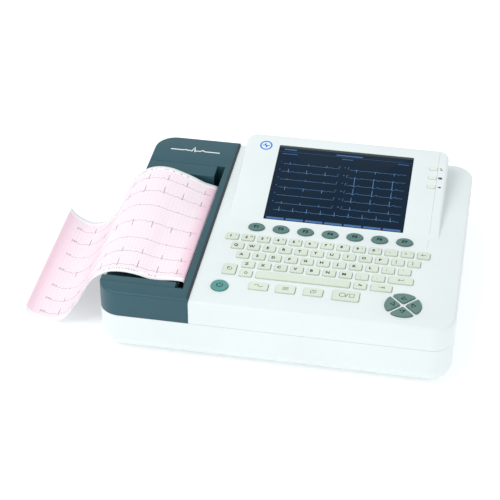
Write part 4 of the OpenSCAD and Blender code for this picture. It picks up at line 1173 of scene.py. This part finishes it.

# %% [markdown]
# Three indicator lenses sit in the hood beside the screen. Each is a small pale cushion. Their
# symbols and a badge made of a ring round one heartbeat are printed layers, and a grey painted
# shadow line stands for a fine groove.

# %% Lenses and hood marks
lenses = Surface()
for y in lens_ys:
    outline = without_repeats(rounded(*lens_size - (0.3, 0.3), 0.8, 3))
    rings = [raised(outline, -2.6), raised(outline, 0.1)]
    rings += [raised(inset(outline, 0.7 * across), 0.1 + 0.7 * (1 - down))
              for across, down in quarter_turn(3)]
    stack = Surface()
    stack.loft(rings)
    stack.lid(rings[-1])
    stack.lid(rings[0], flip=True)
    lenses.add(on_plane(np.vstack(stack.points), lens_x, y, hood, HOOD_SLOPE), stack.faces)
settle(lenses.piece("indicator_lenses", lens), "indicator_lenses", body="case")

badge_blue = moulded("badge_blue", (0.003, 0.21, 0.74), 0.5, Specular_IOR_Level=0.1)
marks = Surface()
BADGE_AT = (-58.2, 130.4)
BADGE_BEAT = [(-4.6, 0), (-2.2, 0), (-1.2, 3.6), (0.6, -3.4), (1.7, 0), (4.6, 0)]
badge = [ribbon(raised(ring_path(7.2)[:-1], 0.0), 1.9, shut=True), *drawn([BADGE_BEAT], 1.6)]
for points, faces in badge:
    marks.add(on_plane(points + (0, 0, INK / 2), *BADGE_AT, hood, HOOD_SLOPE), faces, 1)
ICONS = [
    [[(-2, 1.4), (0.4, 1.4), (-0.8, -1.4), (2, -1.4)]],
    [[(-2.2, -1.2), (2.2, -1.2), (2.2, 1.2), (-2.2, 1.2), (-2.2, -1.4)], [(-1.2, 0), (1.6, 0)]],
    [[(-2, 0), (2, 0)], [(0.6, 1.3), (2, 0), (0.6, -1.3)]],
]
for y, icon in zip(lens_ys, ICONS):
    for points, faces in drawn(icon, 1.1):
        marks.add(on_plane(points + (0, 0, INK / 2), lens_x + 9.8, y, hood, HOOD_SLOPE), faces, 0)

# A fine groove runs beside the lenses, down the hood and a little way along the deck; a grey painted shadow
# line stands for it
groove_x = lens_x + lens_size[0] / 2 + 0.6
GROOVE_SHADOWS = [
    (hood_front + 8.0, hood_back - 6.0, hood, HOOD_SLOPE),
    (-17.0, hood_front - 4.0, deck, DECK_SLOPE),
]
for start, end, height, slope in GROOVE_SHADOWS:
    line = np.array([(groove_x, y, float(height(groove_x, y))) for y in (start, end)])
    marks.add(*ribbon(line, 0.35, up=(0.0, -math.sin(slope), math.cos(slope))), 2)
shade_line = moulded("shade_line", (0.42, 0.46, 0.46), 0.6)
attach(marks.piece("hood_marks", legend_ink, badge_blue, shade_line), "case")

# %% [markdown]
# The chart paper. It is one sheet, printed while it feeds out of the slot, and it drapes over the
# door and down to the table. It hangs a little higher at the back than at the front, so the sheet
# is ruled between two curves: P(s, u) = (1 - u) F(s) + u B(s), with s the length along the paper
# and u the share of its width. Both curves have the same length to within a few millimetres,
# which keeps the ruled sheet almost flat, as paper has to be.

# %% Chart paper
paper_low, paper_high = case_box("chart_paper")
PAPER_Y = (paper_low[1], paper_high[1])
IN_SLOT = [(-113.4, 61.5), (-113.3, 70.0), (-112.4, 78.0)]
FRONT_CURVE = IN_SLOT + [
    (-111.6, 83.0), (-113.4, 85.7), (-124.9, 86.2), (-141, 84.6), (-155, 85), (-167, 88.3),
    (-181, 90.5), (-193.6, 90.4), (-204, 88.3), (-212.4, 84.0), (-222.6, 76.1), (-229.8, 66.3),
    (-237, 52.8), (-244, 39.2), (-251, 28), (-258, 16.8), (-267, 7.9), (-278, 3.2), (-288.6, 3.4),
    (-299, 5.9), (-307, 9.8), (-313, 18),
]
BACK_CURVE = IN_SLOT + [
    (-111.8, 83.4), (-114.2, 86.4), (-129, 90.3), (-145.5, 98), (-162, 104.3), (-172.7, 107.5),
    (-183.7, 108.5), (-194.8, 106.9), (-205.4, 102.5), (-216.5, 93.2), (-225.8, 80.3), (-235.0, 61),
    (-240.6, 45.5), (-248, 31), (-258, 19.5), (-267, 13), (-276.7, 9.7), (-287, 10), (-297, 14.6),
    (-305.7, 21), (-312, 29),
]


def smooth_curve(points, count=600):
    """Catmull-Rom curve through the points, at equal steps of its length. Also gives the length."""
    p = np.array(points, float)
    p = np.vstack([2 * p[0] - p[1], p, 2 * p[-1] - p[-2]])
    t = np.linspace(0, 1, 24, endpoint=False)[None, :, None]
    a, b, c, d = (p[k:len(p) - 3 + k][:, None, :] for k in range(4))
    curve = 0.5 * (2 * b + (c - a) * t + (2 * a - 5 * b + 4 * c - d) * t ** 2
                   + (3 * b - a - 3 * c + d) * t ** 3)
    curve = np.vstack([curve.reshape(-1, 2), p[-2]])
    along = np.concatenate([[0], np.cumsum(np.linalg.norm(np.diff(curve, axis=0), axis=1))])
    even = np.linspace(0, along[-1], count)
    return np.column_stack([np.interp(even, along, curve[:, k]) for k in (0, 1)]), along[-1]


front_curve, front_length = smooth_curve(FRONT_CURVE)
back_curve, back_length = smooth_curve(BACK_CURVE)
PAPER_LENGTH = (front_length + back_length) / 2
print("paper edges, mm:", round(front_length, 1), round(back_length, 1))


def on_paper(s, u):
    """Points of the sheet at length s (mm) and share u of the width: the ruled surface."""
    share = np.linspace(0, 1, len(front_curve))
    s, u = np.broadcast_arrays(np.asarray(s, float) / PAPER_LENGTH, np.asarray(u, float))
    low = np.stack([np.interp(s, share, front_curve[:, k]) for k in (0, 1)], axis=-1)
    high = np.stack([np.interp(s, share, back_curve[:, k]) for k in (0, 1)], axis=-1)
    xz = low * (1 - u[..., None]) + high * u[..., None]
    return np.stack([xz[..., 0], PAPER_Y[0] + u * (PAPER_Y[1] - PAPER_Y[0]), xz[..., 1]], axis=-1)


def paper_normal(s, u):
    """Upward normal of the sheet, from the cross product of its two directions."""
    along = on_paper(np.minimum(s + 0.5, PAPER_LENGTH), u) - on_paper(np.maximum(s - 0.5, 0.0), u)
    across = on_paper(s, np.minimum(u + 0.01, 1.0)) - on_paper(s, np.maximum(u - 0.01, 0.0))
    normal = np.cross(across, along)
    return normal / np.linalg.norm(normal, axis=-1, keepdims=True)


def paper_paint():
    """Chart paper: a pink grid of 1 mm and 5 mm squares between plain margins, from the sheet's UV map,
    with painted shade at the slot and at the far end.
    """
    paint = Paint("chart_paper", (0.95, 0.83, 0.87), 0.62, Specular_IOR_Level=0.25)
    uv = paint.node("ShaderNodeUVMap", {"uv_map": "sheet"})
    parts = paint.node("ShaderNodeSeparateXYZ", None, {0: uv})
    across, along = parts, Field(paint, parts.socket.node.outputs[1])

    def lines(value, pitch, width):
        """1 within half a width of each multiple of the pitch, else 0."""
        away = ((value / pitch + 0.5).math("FRACT") - 0.5).math("ABSOLUTE")
        return away < width / pitch / 2

    fine = lines(across, 0.001, 0.00013).math("MAXIMUM", lines(along, 0.001, 0.00013))
    coarse = lines(across, 0.005, 0.00030).math("MAXIMUM", lines(along, 0.005, 0.00030))
    grid = (fine * 0.30).math("MAXIMUM", coarse * 0.85)
    printed = (across > 0.007) * (across < 0.202)
    broad = paint.ramp(paint.noise(16.0, 2.0), 0.3, 0.7)
    base = paint.mix(broad, (0.90, 0.79, 0.84, 1.0), (0.93, 0.82, 0.86, 1.0))
    # Painted shade: the sheet turns a deeper pink near the slot, up to 41 mm along it, and again past 257
    # mm towards its curled far end
    painted_bend_shade = ((0.041 - along) / 0.010).math("MAXIMUM", (along - 0.257) / 0.030)
    base = paint.mix(painted_bend_shade.math("MAXIMUM", 0.0).math("MINIMUM", 1.0), base, (0.90, 0.66, 0.75, 1.0))
    lined = paint.mix(grid, base, (0.86, 0.60, 0.67, 1.0))
    paint.set("Base Color", paint.mix(printed, (0.92, 0.91, 0.92, 1.0), lined))
    return paint


paper_front = paper_paint()
paper_back = Paint("paper_back", (0.92, 0.90, 0.91), 0.65)
fibre = paper_back.noise(420.0, 3.0)
paper_back.set("Base Color", paper_back.mix(fibre, (0.88, 0.85, 0.87, 1.0), (0.94, 0.92, 0.93, 1.0)))

s_steps, u_steps = 150, 29
s_grid, u_grid = np.meshgrid(np.linspace(0, PAPER_LENGTH, s_steps), np.linspace(0, 1, u_steps),
                             indexing="ij")
index = np.arange(s_steps * u_steps).reshape(s_steps, u_steps)
quads = np.stack([index[:-1, :-1], index[:-1, 1:], index[1:, 1:], index[1:, :-1]], axis=-1).reshape(-1, 4)
paper_mesh = bpy.data.meshes.new("chart_paper_sheet")
paper_mesh.from_pydata(in_frame(on_paper(s_grid, u_grid).reshape(-1, 3)).tolist(), [], quads.tolist())
uv_layer = paper_mesh.uv_layers.new(name="sheet")
corner = np.empty(len(paper_mesh.loops), int)
paper_mesh.loops.foreach_get("vertex_index", corner)
width = PAPER_Y[1] - PAPER_Y[0]
flat_place = np.column_stack([u_grid.ravel() * width * MM, s_grid.ravel() * MM])
uv_layer.data.foreach_set("uv", flat_place[corner].ravel())
paper_mesh.materials.append(paper_front.material)
paper_mesh.materials.append(paper_back.material)
paper_mesh.shade_smooth()
paper = bpy.data.objects.new("chart_paper_sheet", paper_mesh)
bpy.context.scene.collection.objects.link(paper)
thickness = paper.modifiers.new("thickness", "SOLIDIFY")
thickness.thickness, thickness.offset, thickness.material_offset = 0.00012, -1.0, 1
settle(paper, "chart_paper", body="door")
print("paper normal points up:", paper_normal(np.array([120.0]), np.array([0.5]))[0].round(2))

# %% [markdown]
# The printed traces follow the sheet: each is a ribbon whose points are mapped on to the paper,
# a hair above it. Short dashes near both edges stand for the printed notes.

# %% Printed traces
# Share of the width, and height of the beat, for each row
PAPER_ROWS = [(0.066, 12), (0.186, 8), (0.310, 2.5), (0.469, -11), (0.618, 2.5), (0.754, 13), (0.882, 10)]
BEAT = 24.9
trace_ink = moulded("trace_ink", (0.16, 0.12, 0.16), 0.6)
prints = Surface()


def print_on_paper(s, across, width):
    """A ribbon along the paper through the points (s, across), both in millimetres."""
    s, u = np.asarray(s, float), np.asarray(across, float) / (PAPER_Y[1] - PAPER_Y[0])
    up = paper_normal(s, u)
    prints.add(*ribbon(on_paper(s, u) + up * 0.05, width, up=up))


width_mm = PAPER_Y[1] - PAPER_Y[0]
for share, size in PAPER_ROWS:
    s = np.arange(29.0, PAPER_LENGTH - 20.0, 0.35)
    print_on_paper(s, share * width_mm + size * heartbeat(s / BEAT - 0.085), 0.32)
    for k in range(3):
        start = PAPER_LENGTH - 27.0 + 2.6 * k
        print_on_paper([start, start + 1.7], [share * width_mm + 2.2] * 2, 1.0)
rng = np.random.default_rng(4)
for edge in (0.030, 0.972):
    s = 60.0
    while s < PAPER_LENGTH - 60:
        dash = rng.uniform(1.0, 3.0)
        if rng.random() < 0.75:
            print_on_paper([s, s + dash], [edge * width_mm] * 2, 0.9)
        s += dash + rng.uniform(0.6, 2.2)
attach(prints.piece("chart_traces", trace_ink, sharp=60.0), "door")

# %% [markdown]
# Every CAD part that still shows gets its finish by name, so no part keeps a plain colour.

# %% Finishes of the CAD parts
FINISHES = {
    "lower_case": case_white, "battery_cover": case_white, "tear_bar": blued_steel,
    "platen_roller": rubber, "platen_shaft": steel, "platen_gear": nylon, "platen_bushes": brass,
    "idler_gear": nylon, "drive_motor": zinc_steel, "motor_pinion": brass, "print_head": aluminium,
    "head_springs": steel, "printer_chassis": zinc_steel, "paper_roll": roll_finish,
    "paper_tray": black_plastic, "door_magnets": zinc_steel, "lcd_panel": zinc_steel,
    "main_board": board, "keypad_board": board, "power_supply": zinc_steel,
    "battery_pack": battery_wrap, "speaker": black_plastic, "mains_inlet": black_plastic,
    "mains_switch": black_plastic, "earth_stud": brass, "patient_socket": aluminium,
    "data_ports": aluminium, "feet": rubber, "case_screws": zinc_steel,
}
cad_nodes = [part["node"] for part in frame["record"]["subparts"]]
shown = {node for node in cad_nodes if not bpy.data.objects[node].hide_render}
for name, paint in FINISHES.items():
    if name in shown:
        mesh = bpy.data.objects[name].data
        mesh.materials.clear()
        mesh.materials.append(paint.material)
print("CAD parts without a finish:", sorted(shown - set(FINISHES)))
